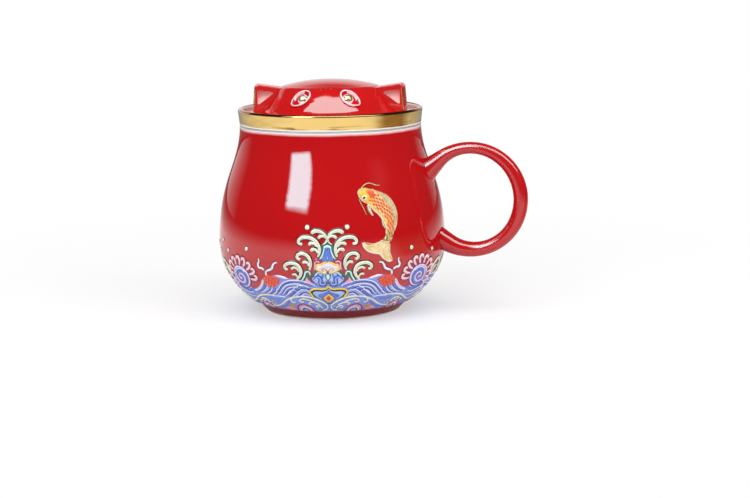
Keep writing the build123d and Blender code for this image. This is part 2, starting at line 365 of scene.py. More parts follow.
def mug_glaze():
    """Red glaze outside, white inside, bare porcelain at the mouth and under the foot; painted shade darkens
    the red near the foot, and a painted shadow lies under the strainer's collar.
    """
    nodes = Nodes("mug_glaze")
    nodes.set(IOR=GLAZE_IOR)
    height = nodes.height()
    red = nodes.blend(nodes.noise(26.0), BODY_RED, srgb(194, 19, 24))
    # painted shade: the red is painted darker near the foot
    deep = nodes.blend(nodes.span(height, *FOOT_PAINTED_SHADE), srgb(148, 20, 26), red)
    skin = nodes.blend(beyond(nodes, height, wall_marks(MUG_WALL / 2)), WHITE_GLAZE, deep)
    edge = nodes.math("ADD", height, nodes.drift(90.0, -GLAZE_WOBBLE, GLAZE_WOBBLE))
    skin = nodes.blend(nodes.span(edge, *MOUTH_PINK), skin, srgb(255, 222, 228))
    foot_edge = nodes.span(edge, *FOOT_BARE)
    mouth_edge = nodes.span(edge, *MOUTH_BARE, 1.0, 0.0)
    glazed = nodes.math("MULTIPLY", foot_edge, mouth_edge)
    # painted shadow: a grey line on the bare mouth under the strainer's collar
    bare_and_painted_seam_shadow = nodes.blend(nodes.span(edge, *MOUTH_SEAM), BARE, SEAM_PAINTED_SHADOW)
    nodes.colour(nodes.blend(glazed, bare_and_painted_seam_shadow, skin))
    nodes.rough(nodes.span(glazed, 0.0, 1.0, 0.42, GLAZE_ROUGH))
    nodes.bump(nodes.noise(45.0, 1.0), 0.02, 0.001)
    return nodes.material


def handle_glaze():
    """Red glaze on the ring, a little duller than on the body."""
    nodes = Nodes("handle_glaze")
    nodes.set(IOR=GLAZE_IOR)
    nodes.colour(nodes.blend(nodes.noise(30.0), BODY_RED, srgb(196, 20, 26)))
    nodes.rough(nodes.drift(40.0, 0.10, 0.14))
    return nodes.material


def ear_hollow(nodes, height, ahead):
    """Share of a point's being in one of the ears' triangular hollows."""
    side = nodes.math("ABSOLUTE", nodes.dot(nodes.place, across_face()))
    foot = (BRIM_TOP + HOLLOW_FOOT + HOLLOW_RISE * HOLLOW_SIDE) * MM
    above = nodes.math("ADD", height, nodes.math("MULTIPLY", side, HOLLOW_RISE))
    share = nodes.math("GREATER_THAN", above, foot - 0.1 * MM)
    margin = 0.05
    for value, low, high in (
        (side, 20.0, HOLLOW_SIDE + margin),
        (height, BRIM_TOP, BRIM_TOP + HOLLOW_TOP + margin),
        (ahead, 3.0, EAR_FRONT - 0.2),
    ):
        share = nodes.math("MULTIPLY", share, nodes.math("GREATER_THAN", value, low * MM))
        share = nodes.math("MULTIPLY", share, nodes.math("LESS_THAN", value, high * MM))
    return share


def lid_glaze():
    """Red glaze on the head and brim, a painted reflection of the ceiling light as pale pink in the ears'
    hollows, white underneath; the face is a little domed.
    """
    nodes = Nodes("lid_glaze")
    nodes.set(IOR=GLAZE_IOR)
    height = nodes.height()
    ahead = nodes.dot(nodes.place, out_of_face())
    red = nodes.blend(nodes.noise(30.0), LID_RED, srgb(212, 26, 26))
    hollow = ear_hollow(nodes, height, ahead)
    # painted reflection: the ears' hollows are painted pale pink for the ceiling light mirrored in them
    red = nodes.blend(hollow, red, srgb(255, 204, 202))
    upper = nodes.span(height, *LID_UNDERSIDE)
    outer = nodes.math("MULTIPLY", upper, beyond(nodes, height, LID_MARKS))
    nodes.colour(nodes.blend(outer, WHITE_GLAZE, red))
    nodes.rough(nodes.span(hollow, 0.0, 1.0, GLAZE_ROUGH, 0.6))
    nodes.link(nodes.span(hollow, 0.0, 1.0, 0.5, 0.1), nodes.shader.inputs["Specular IOR Level"])
    middle = (BRIM_TOP + DOME_MIDDLE) * MM
    turn = nodes.math("MULTIPLY", nodes.math("SUBTRACT", height, middle), math.pi / DOME_SPAN)
    lift = nodes.span(ahead, *DOME_AHEAD, 0.0, DOME_LIFT)
    dome = nodes.math("MULTIPLY", nodes.math("COSINE", turn), lift)
    ripple = nodes.math("MULTIPLY", nodes.noise(45.0, 1.0), GLAZE_RIPPLE)
    nodes.bump(nodes.math("ADD", dome, ripple), 1.0, 1.0)
    return nodes.material


def lustre(nodes):
    """Brushed-on gold, a little cloudy."""
    return nodes.blend(nodes.noise(60.0, 3.0, (1, 1, 2)), GOLD, srgb(240, 200, 118))


def infuser_finish():
    """White glaze on the strainer, a bare strip where it rests, gold lustre on the collar's outside, with its
    lip painted darker and browner as painted shade.
    """
    nodes = Nodes("infuser_finish")
    nodes.set(IOR=1.6)
    height = nodes.height()
    uneven = nodes.math("ADD", height, nodes.drift(60.0, -GOLD_WOBBLE, GOLD_WOBBLE))
    outside = nodes.math("GREATER_THAN", nodes.radius(), (COLLAR_BORE + 0.25) * MM)
    gilded = nodes.math("MULTIPLY", nodes.span(uneven, *COLLAR_GOLD), outside)
    bare = nodes.math("MULTIPLY", nodes.span(uneven, *COLLAR_BARE), outside)
    white = nodes.blend(bare, WHITE_GLAZE, BARE)
    low = nodes.span(height, *GOLD_STREAKS)
    streak = nodes.span(nodes.noise(60.0, 3.0, (1, 1, 12)), 0.55, 0.62)
    streaked = nodes.blend(nodes.math("MULTIPLY", streak, low), lustre(nodes), srgb(150, 104, 46))
    # painted shade: the collar's lip is painted darker and browner
    lip_with_painted_shade = nodes.blend(nodes.span(height, *LIP_PAINTED_SHADE), streaked, srgb(196, 118, 76))
    nodes.colour(nodes.blend(gilded, white, lip_with_painted_shade))
    nodes.link(gilded, nodes.shader.inputs["Metallic"])
    nodes.rough(nodes.drift(80.0, 0.06, 0.12))
    nodes.bump(nodes.noise(55.0, 2.0, (1, 1, 2)), 0.3, 0.001)
    return nodes.material


def gold_lustre():
    """Gold on the lid's eyes and ears."""
    nodes = Nodes("gold_lustre")
    nodes.set(Metallic=1.0)
    nodes.colour(nodes.blend(nodes.noise(400.0), srgb(255, 200, 136), srgb(232, 170, 96)))
    nodes.rough(nodes.drift(120.0, 0.30, 0.38))
    return nodes.material


def enamel(name):
    """A fired enamel: slightly clouded colour with a soft gloss."""
    pale, deep = (srgb(*colour) for colour in ENAMELS[name])
    nodes = Nodes("enamel_" + name)
    nodes.set(IOR=1.55)
    nodes.colour(nodes.blend(nodes.span(nodes.noise(420.0, 3.0), 0.35, 0.65), pale, deep))
    nodes.rough(nodes.drift(240.0, 0.16, 0.3))
    nodes.bump(nodes.noise(900.0, 2.0), 0.06, 0.0003)
    return nodes.material


def dress(node, material):
    """Gives a carried-over solid its finish."""
    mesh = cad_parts[node].data
    mesh.materials.clear()
    mesh.materials.append(material)


# ---- the wall that the enamel lies on -------------------------------------------
def bezier(points, count=160):
    """Points along a cubic curve from its four control points."""
    start, out, into, end = (np.array(p, float) for p in points)
    t = np.linspace(0, 1, count)[:, None]
    return (1 - t) ** 3 * start + 3 * (1 - t) ** 2 * t * out + 3 * (1 - t) * t * t * into + t ** 3 * end


def wall_profile():
    """The outer wall as (radius, height), from the foot's top edge to the mouth."""
    low, high = BELLY_HEIGHT - FOOT_HEIGHT, MOUTH_HEIGHT - BELLY_HEIGHT
    under = bezier((
        (FOOT_TOP_RADIUS, FOOT_HEIGHT),
        (
            FOOT_TOP_RADIUS + FOOT_PULL * low * math.cos(BELLY_RISE),
            FOOT_HEIGHT + FOOT_PULL * low * math.sin(BELLY_RISE),
        ),
        (BELLY_RADIUS, BELLY_HEIGHT - UNDER_BELLY_PULL * low),
        (BELLY_RADIUS, BELLY_HEIGHT),
    ))
    over = bezier((
        (BELLY_RADIUS, BELLY_HEIGHT),
        (BELLY_RADIUS, BELLY_HEIGHT + OVER_BELLY_PULL * high),
        (MOUTH_RADIUS, MOUTH_HEIGHT - NECK_PULL * high),
        (MOUTH_RADIUS, MOUTH_HEIGHT),
    ))
    return np.vstack([under, over[1:]])


WALL = wall_profile()
WALL_ALONG = np.concatenate([[0], np.cumsum(np.hypot(*np.diff(WALL, axis=0).T))])
WALL_SLOPE = np.gradient(WALL, WALL_ALONG, axis=0)


def wall_marks(inset, count=12):
    """A few (height, radius) pairs of the outside set in by inset, in metres."""
    marks = [(0.0, (FOOT_RADIUS - inset) * MM)]
    for height in np.linspace(FOOT_HEIGHT, MOUTH_HEIGHT, count):
        radius = np.interp(height, WALL[:, 1], WALL[:, 0]) - inset
        marks.append((float(height) * MM, float(radius) * MM))
    return marks


def surface_of(node):
    """The surface of a carried-over solid, for laying pieces on it."""
    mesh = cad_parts[node].data
    corners = [v.co.copy() for v in mesh.vertices]
    return BVHTree.FromPolygons(corners, [tuple(p.vertices) for p in mesh.polygons])


LID_SURFACE = surface_of("lid")


def out_of_face():
    """The way the cat's face looks."""
    return Vector((math.sin(LID_TURN), -math.cos(LID_TURN), 0))


def across_face():
    return Vector((math.cos(LID_TURN), math.sin(LID_TURN), 0))


def on_lid(flat, lift, turn):
    """Points drawn round the head from the middle of the face and up its flank, laid on the lid."""
    laid = []
    for (along, up), high in zip(flat, lift):
        reach = HEAD_RADIUS - up * math.cos(FLANK_SLOPE)
        angle = LID_TURN + along / (HEAD_RADIUS - EYE_UP * math.cos(FLANK_SLOPE))
        level = math.sin(FLANK_SLOPE)
        out = Vector((math.sin(angle) * level, -math.cos(angle) * level, math.cos(FLANK_SLOPE)))
        foot = Vector((math.sin(angle) * reach, -math.cos(angle) * reach, BRIM_TOP + up * level)) * MM
        met = LID_SURFACE.find_nearest(foot + out * RIDGE * MM)[0]
        laid.append(met + out * high * MM)
    return np.array(laid)


def on_wall(flat, lift, turn):
    """Points drawn flat, raised by lift, laid on the wall in metres."""
    up = flat[:, 1]
    out = np.interp(up, WALL_ALONG, WALL_SLOPE[:, 1])
    rise = -np.interp(up, WALL_ALONG, WALL_SLOPE[:, 0])
    radius = np.interp(up, WALL_ALONG, WALL[:, 0]) + lift * out
    height = np.interp(up, WALL_ALONG, WALL[:, 1]) + lift * rise
    angle = DECOR_TURN + turn + flat[:, 0] / DECOR_RADIUS
    return np.column_stack([radius * np.sin(angle), -radius * np.cos(angle), height]) * MM


# ---- drawing in enamel ------------------------------------------------------------
class Line:
    """A smooth curve through the points, read by distance along it."""

    def __init__(self, points):
        self.points = np.array(points, float)
        self.marks = np.concatenate([[0], np.cumsum(np.hypot(*np.diff(self.points, axis=0).T))])
        self.length = self.marks[-1]
        if len(self.points) > 2:
            self.slopes = np.gradient(self.points, self.marks, axis=0)
        else:
            self.slopes = np.repeat((self.points[1:] - self.points[:1]) / self.length, 2, axis=0)

    def at(self, places):
        first = np.clip(np.searchsorted(self.marks, places, side="right") - 1, 0, len(self.points) - 2)
        span = (self.marks[first + 1] - self.marks[first])[:, None]
        u = (places - self.marks[first])[:, None] / span
        return (
            self.points[first] * (2 * u ** 3 - 3 * u ** 2 + 1)
            + self.slopes[first] * span * (u ** 3 - 2 * u ** 2 + u)
            + self.points[first + 1] * (3 * u ** 2 - 2 * u ** 3)
            + self.slopes[first + 1] * span * (u ** 3 - u ** 2)
        )

    def even(self, step):
        return self.at(np.linspace(0, self.length, max(2, int(round(self.length / step)) + 1)))

    def point(self, share):
        return self.at(np.array([share * self.length]))[0]


def outline_of(segments, step):
    """One closed outline from smooth segments that meet in corners."""
    pieces = []
    for segment in segments:
        drawn = Line(segment).even(step) if len(segment) > 1 else np.array(segment, float)
        if pieces and np.hypot(*(drawn[0] - pieces[-1][-1])) < step / 10:
            drawn = drawn[1:]
        pieces.append(drawn)
    outline = np.vstack(pieces)
    if np.hypot(*(outline[0] - outline[-1])) < step / 10:
        outline = outline[:-1]
    ahead = np.roll(outline, -1, axis=0)
    area = np.sum(outline[:, 0] * ahead[:, 1] - ahead[:, 0] * outline[:, 1])
    return outline if area > 0 else outline[::-1]


def edge_distance(points, outline):
    """Distance from each point to the outline, less than zero outside."""
    start, end = outline, np.roll(outline, -1, axis=0)
    way = end - start
    to = points[:, None, :] - start[None]
    share = np.clip((to * way).sum(-1) / np.maximum((way * way).sum(-1), 1e-12), 0, 1)
    nearest = np.hypot(*np.moveaxis(to - share[..., None] * way, -1, 0)).min(1)
    above = (start[:, 1] > points[:, 1:2]) != (end[:, 1] > points[:, 1:2])
    rise = np.where(np.abs(way[:, 1]) < 1e-12, 1e-12, way[:, 1])
    crossing = start[:, 0] + (points[:, 1:2] - start[:, 1]) * way[:, 0] / rise
    inside = (above & (points[:, 0:1] < crossing)).sum(1) % 2 == 1
    return np.where(inside, nearest, -nearest)


def triangles(outline, inner):
    """Corners and triangles that fill the outline, through the inner points."""
    corners = [Vector(p) for p in np.vstack([outline, inner]).tolist()]
    ring = list(range(len(outline)))
    edges = [(a, (a + 1) % len(ring)) for a in ring]
    made = delaunay_2d_cdt(corners, edges, [], 1, 1e-5)
    return np.array([tuple(v) for v in made[0]]), [tuple(face) for face in made[2]]


def tube(rows, sides):
    """Faces that join rows of points, each a ring of so many sides."""
    faces = []
    for row in range(rows - 1):
        low, high = row * sides, (row + 1) * sides
        for side in range(sides):
            beside = (side + 1) % sides
            faces.append((low + side, low + beside, high + beside, high + side))
    return faces


def closed_tube(rows, sides):
    first, last = tuple(range(sides)), tuple(range((rows - 1) * sides, rows * sides))
    return [*tube(rows, sides), first[::-1], last]


def add_object(name, data):
    made = bpy.data.objects.new(name, data)
    bpy.context.scene.collection.objects.link(made)
    return made


STROKE_SECTION = np.array([(-1, 0), (-0.86, 0.52), (-0.48, 0.88), (0, 1), (0.48, 0.88), (0.86, 0.52), (1, 0)])
# Where a motif's copies go, each as a turn round the mug and 1 or -1 for its mirror image
LEFT_AND_RIGHT = ((0.0, 1), (0.0, -1))
AWAY_FROM_HANDLE = ((0.0, -1), (math.pi, 1))
FRONT_AND_BACK = ((0.0, 1), (math.pi, 1))
FOUR_QUARTERS = ((0.0, 1), (0.0, -1), (math.pi, 1), (math.pi, -1))
ONCE = ((0.0, 1),)


class Drawing:
    """Enamel solids of one motif, gathered into one mesh with a material for each colour."""

    def __init__(self, name, copies, lay=on_wall):
        self.name = name
        self.copies = copies
        self.lay = lay
        self.points = []
        self.faces = []
        self.colours = []
        self.names = []

    def solid(self, colour, flat, lift, faces):
        if colour not in self.names:
            self.names.append(colour)
        for turn, side in self.copies:
            first = sum(len(p) for p in self.points)
            self.points.append(self.lay(flat * (side, 1), lift, turn))
            for face in faces:
                ordered = face if side > 0 else face[::-1]
                self.faces.append([first + corner for corner in ordered])
                self.colours.append(self.names.index(colour))

    def stroke(self, colour, points, widths, relief, step=0.6):
        """A domed ribbon with round ends; widths are spread evenly along it."""
        line = Line(points)
        widths = np.atleast_1d(widths)
        half_ends = (widths[0] / 2, widths[-1] / 2)
        near = [half_ends[0] * s for s in END_PLACES]
        far = [line.length - half_ends[1] * s for s in reversed(END_PLACES)]
        middle = np.arange(near[-1] + step / 2, far[0] - step / 4, step)
        places = np.array(sorted(p for p in [*near, *middle, *far] if 0 <= p <= line.length))
        centre = line.at(places)
        slope = np.gradient(centre, places, axis=0)
        across = np.column_stack([-slope[:, 1], slope[:, 0]]) / np.hypot(*slope.T)[:, None]
        share = places / line.length
        half = np.interp(share, np.linspace(0, 1, len(widths)), widths) / 2
        reach = np.minimum(places / half_ends[0], (line.length - places) / half_ends[1])
        round_off = np.sqrt(np.clip(1 - (1 - np.clip(reach, 0.02, 1)) ** 2, 0, 1))
        half = half * round_off
        flat = centre[:, None] + across[:, None] * half[:, None, None] * STROKE_SECTION[None, :, :1]
        rise = SUNK + (relief * np.sqrt(round_off)[:, None] - SUNK) * STROKE_SECTION[None, :, 1]
        faces = [face[::-1] for face in closed_tube(len(places), len(STROKE_SECTION))]
        self.solid(colour, flat.reshape(-1, 2), rise.reshape(-1), faces)

    def inked(self, colour, points, widths, relief, ink=0.3, ink_colour="ink"):
        """A ribbon with a dark outline showing all round it."""
        widths = np.atleast_1d(widths)
        self.stroke(ink_colour, points, widths + 2 * ink, relief * 0.45)
        self.stroke(colour, points, widths, relief)

    def patch(self, colour, segments, relief, edge=0.3, step=0.5, grid=1.5):
        """A filled shape with rounded edges; each segment is smooth, and they meet in corners."""
        outline = outline_of(segments, step)
        ahead, behind = np.roll(outline, -1, axis=0), np.roll(outline, 1, axis=0)
        way = ahead - behind
        inward = np.column_stack([-way[:, 1], way[:, 0]]) / np.maximum(np.hypot(*way.T), 1e-9)[:, None]
        shoulder = outline + inward * edge
        lows, highs = outline.min(0), outline.max(0)
        across = np.arange(lows[0] + grid / 2, highs[0], grid)
        up = np.arange(lows[1] + grid / 2, highs[1], grid)
        field = np.array([(x + grid / 2 * (row % 2), y) for row, y in enumerate(up) for x in across])
        inner = [shoulder[edge_distance(shoulder, outline) > edge * 0.85]]
        if len(field):
            inner.append(field[edge_distance(field, outline) > edge * 1.6])
        inner = np.vstack(inner)
        corners, faces = triangles(outline, inner)
        depth = np.clip(edge_distance(corners, outline), 0, None)
        lift = SUNK + (relief - SUNK) * (1 - np.exp(-2.2 * depth / edge))
        lift[depth < 1e-4] = SUNK
        under, under_faces = triangles(outline, np.zeros((0, 2)))
        known = {tuple(np.round(c, 4)): n for n, c in enumerate(corners)}
        extra, places = [], []
        for corner in under:
            key = tuple(np.round(corner, 4))
            if key not in known:
                known[key] = len(corners) + len(extra)
                extra.append(corner)
            places.append(known[key])
        if extra:
            corners = np.vstack([corners, np.array(extra)])
            lift = np.concatenate([lift, np.full(len(extra), SUNK)])
        closed = faces + [tuple(places[c] for c in reversed(face)) for face in under_faces]
        self.solid(colour, corners, lift, closed)

    def bead(self, colour, centre, radius, relief, sides=12):
        """A small round drop."""
        turn = np.linspace(0, 2 * math.pi, sides, endpoint=False)
        ring = np.column_stack([np.cos(turn), np.sin(turn)])
        flat = [np.array(centre) + ring * radius * wide for wide, _ in BEAD_LEVELS]
        lift = [np.full(sides, SUNK + (relief - SUNK) * high) for _, high in BEAD_LEVELS]
        flat.append(np.array([centre], float))
        lift.append(np.array([relief]))
        top = len(BEAD_LEVELS) * sides
        last = top - sides
        faces = tube(len(BEAD_LEVELS), sides)
        faces += [(last + side, last + (side + 1) % sides, top) for side in range(sides)]
        faces.append(tuple(reversed(range(sides))))
        self.solid(colour, np.vstack(flat), np.concatenate(lift), faces)

    def fan(self, outer, inner, colours, width, relief, step=0.8):
        """Nested lines between an outer and an inner one; a colour of None leaves a gap."""
        first, last = Line(outer), Line(inner)
        share = np.linspace(0, 1, 9)
        lines = first.at(share * first.length), last.at(share * last.length)
        for number, colour in enumerate(colours):
            if colour:
                part = number / (len(colours) - 1)
                between = lines[0] * (1 - part) + lines[1] * part
                wide = width * 0.7 if colour == "navy" else width
                self.stroke(colour, between, (wide * 0.5, wide, wide, wide * 0.5), relief, step)

    def make(self, body, slot):
        mesh = bpy.data.meshes.new(self.name)
        mesh.from_pydata(np.vstack(self.points).tolist(), [], self.faces)
        for colour in self.names:
            mesh.materials.append(ENAMEL_MATERIALS[colour])
        mesh.polygons.foreach_set("material_index", self.colours)
        mesh.polygons.foreach_set("use_smooth", [True] * len(mesh.polygons))
        mesh.update()
        mesh.set_sharp_from_angle(angle=SHARP_ANGLE)
        piece = add_object(self.name, mesh)
        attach(piece, body)


# ---- shapes that several motifs share ---------------------------------------------
def mirrored(points):
    """The points on the motif's other side, in the order that closes an outline."""
    return [(-x, y) for x, y in reversed(points)]


def on_side(side, points):
    """The points as they are, or on the motif's other side where side is -1."""
    return [(x * side, y) for x, y in points]


def shifted(points, across, up):
    """The points moved as they are."""
    return [(x + across, y + up) for x, y in points]


def scaled(points, wide, high, middle):
    """The points spread by wide from the motif's middle and by high from a height."""
    return [(x * wide, middle + (y - middle) * high) for x, y in points]


# ---- the border: sea waves round a mountain, repeated on the back -----------------
def foam(drawing, points, widths, relief=0.5):
    """A cream curl of foam with a dark outline and a grey-green line along it."""
    drawing.inked("cream", points, widths, relief, 0.5)
    drawing.stroke("sage", points, np.array(widths) * 0.42, relief + 0.04)


def draw_foam():
    """Curls of foam that climb the mountain, and the crests between its copies."""
    d = Drawing("enamel_foam", FOUR_QUARTERS)
    foam(d, [
        (0.2, 39.6), (0.4, 41.0), (1.6, 42.4), (3.5, 43.3), (5.4, 43.2), (6.6, 42.3),
    ], (0.7, 1.2, 1.6, 1.9))
    foam(d, [(0.4, 40.4), (1.5, 41.2), (2.9, 41.1), (3.8, 40.2)], (0.7, 1.2, 1.5))
    foam(d, [(0.0, 39.9), (0.7, 38.6), (1.8, 37.8)], (1.0, 0.8, 0.6))
    foam(d, [
        (3.9, 32.6), (3.2, 34.8), (3.4, 37.0), (4.6, 39.0), (6.4, 40.3), (8.8, 40.7), (11.0, 40.2),
        (11.9, 39.0), (11.4, 38.0), (10.1, 37.9),
    ], (1.0, 1.4, 1.6, 1.6, 1.5, 1.3))
    foam(d, [(4.2, 36.8), (5.2, 38.1), (6.6, 38.3), (7.7, 37.6)], (0.8, 1.3, 1.6))
    foam(d, [(3.9, 34.2), (4.6, 35.6), (5.9, 35.8), (6.8, 35.0)], (0.8, 1.4, 1.8))
    foam(d, [
        (7.5, 27.0), (6.9, 29.6), (7.4, 32.0), (8.7, 33.5), (10.5, 34.0), (12.0, 33.5), (12.5, 32.5),
        (12.0, 31.7), (11.0, 31.8),
    ], (1.0, 1.4, 1.6, 1.5, 1.3))
    foam(d, [(7.6, 28.6), (8.2, 30.1), (9.4, 30.6), (10.2, 29.9)], (0.8, 1.3, 1.5))
    foam(d, [
        (13.4, 22.4), (11.6, 24.5), (11.2, 27.0), (12.3, 29.0), (14.6, 29.8), (17.0, 29.4),
        (18.1, 28.3), (17.8, 27.2), (16.7, 27.0),
    ], (1.1, 1.6, 1.6, 1.6, 1.3))
    foam(d, [(12.0, 26.2), (13.0, 27.7), (14.4, 27.9), (15.3, 27.1)], (0.7, 1.2, 1.3))
    foam(d, [(12.9, 23.6), (13.7, 24.9), (15.2, 24.7)], (0.8, 1.2, 1.2))
    foam(d, [
        (54.6, 19.6), (55.0, 22.4), (57.0, 25.0), (60.0, 26.0), (62.8, 24.8), (63.2, 22.9), (61.6, 22.2),
    ], (0.9, 1.3, 1.5, 1.4, 1.2))
    foam(d, [(56.6, 20.8), (57.8, 22.6), (59.6, 22.7)], (0.8, 1.2, 1.3))
    foam(d, [
        (62.4, 18.4), (63.4, 20.6), (66.0, 22.0), (68.8, 21.4), (69.4, 19.9), (68.2, 19.2),
    ], (0.9, 1.3, 1.5, 1.4, 1.2))
    foam(d, [(72.6, 17.0), (71.8, 20.0), (72.2, 23.2), (74.0, 25.4), (75.4, 25.9)], (0.9, 1.3, 1.4, 1.3))
    return d


def draw_cliffs():
    """The mountain's peaks between the foam, in blue, green and pink."""
    d = Drawing("enamel_cliffs", FOUR_QUARTERS)
    d.patch("green", [
        [(0.0, 39.4), (1.4, 38.9), (2.5, 37.6), (2.8, 35.3), (3.6, 33.2), (4.6, 31.6)],
        [(4.6, 31.6), (3.0, 31.0), (-0.3, 31.0)],
        [(-0.3, 31.0), (-0.3, 39.3), (0.0, 39.4)],
    ], 0.16)
    d.patch("rose", [
        [(3.0, 32.0), (4.4, 32.2), (5.9, 31.0), (6.4, 28.9), (7.0, 26.4)],
        [(7.0, 26.4), (5.6, 25.8), (4.0, 28.0), (2.0, 31.0)],
        [(2.0, 31.0), (3.0, 32.0)],
    ], 0.18)
    d.stroke("pink", [(5.5, 27.0), (5.2, 28.8), (5.0, 30.4), (4.1, 30.9), (3.2, 30.3)], (0.6, 0.7, 0.6), 0.34)
    d.stroke("orange", [(4.4, 29.6), (4.2, 28.6)], 0.8, 0.3)
    d.patch("green", [
        [(7.8, 28.0), (9.4, 27.2), (10.3, 24.9), (11.6, 22.9), (13.2, 22.0)],
        [(13.2, 22.0), (11.0, 20.6), (7.0, 22.5)],
        [(7.0, 22.5), (7.6, 25.4), (7.8, 28.0)],
    ], 0.16)
    d.stroke("mint", [(7.3, 24.6), (8.0, 26.3), (9.0, 26.2), (9.9, 24.2), (11.2, 22.0)], (0.6, 0.8, 0.8), 0.3)
    d.patch("pink", [
        [(8.9, 24.6), (9.6, 22.9), (11.2, 20.7)],
        [(11.2, 20.7), (6.4, 20.4)],
        [(6.4, 20.4), (8.1, 22.4), (8.9, 24.6)],
    ], 0.26)
    d.stroke("green", [(2.9, 27.9), (4.9, 26.6), (6.4, 24.8), (7.4, 24.2)], (0.8, 1.0, 0.8), 0.3)
    d.stroke("mint", [(1.6, 31.4), (1.9, 32.6), (1.3, 34.6), (1.0, 36.6)], (0.8, 0.7, 0.5), 0.34)
    d.stroke("mint", [(3.4, 26.3), (4.6, 25.4), (5.6, 24.2)], (0.6, 0.8, 0.6), 0.36)
    return d


def arch(flank, top):
    """A peak's outline from its left flank and the height of its top."""
    other = mirrored(flank)
    return [flank, [flank[-1], (0, top), other[0]], other, [other[-1], flank[0]]]


def draw_peak():
    """The blue peak in the border's middle, in a pale outline."""
    d = Drawing("enamel_peak", FRONT_AND_BACK)
    d.patch("mint", arch([(-3.7, 31.6), (-2.9, 32.9), (-1.9, 35.3), (-1.7, 37.2)], 37.9), 0.26)
    d.patch("blue", arch([(-2.8, 30.8), (-2.0, 32.7), (-1.15, 35.2), (-1.0, 36.6)], 37.0), 0.42)
    ridge = [(2.6, 31.4), (1.95, 32.7), (1.1, 35.2), (0.9, 36.6)]
    for side in (1, -1):
        d.stroke("navy", on_side(side, ridge), 0.35, 0.48)
    d.stroke("navy", [(0, 36.3), (0, 35.0)], (0.9, 0.3), 0.5)
    d.stroke("sky", [(0, 31.4), (0, 33.0)], (1.7, 0.4), 0.48)
    return d


def lappet(drawing, colour, half, hem, relief):
    """A patch from its left half and the left half of its lower edge."""
    drawing.patch(colour, [half, hem + mirrored(hem[:-1]), mirrored(half)], relief)


def diamond(middle, wide, high):
    """Outline of a diamond with slightly bulging sides."""
    quarter = [(0, high), (wide * 0.52, high * 0.56), (wide, 0)]
    outline = []
    for across, up in ((1, 1), (1, -1), (-1, -1), (-1, 1)):
        side = [(x * across, middle + y * up) for x, y in quarter]
        outline.append(side if across == up else side[::-1])
    return outline


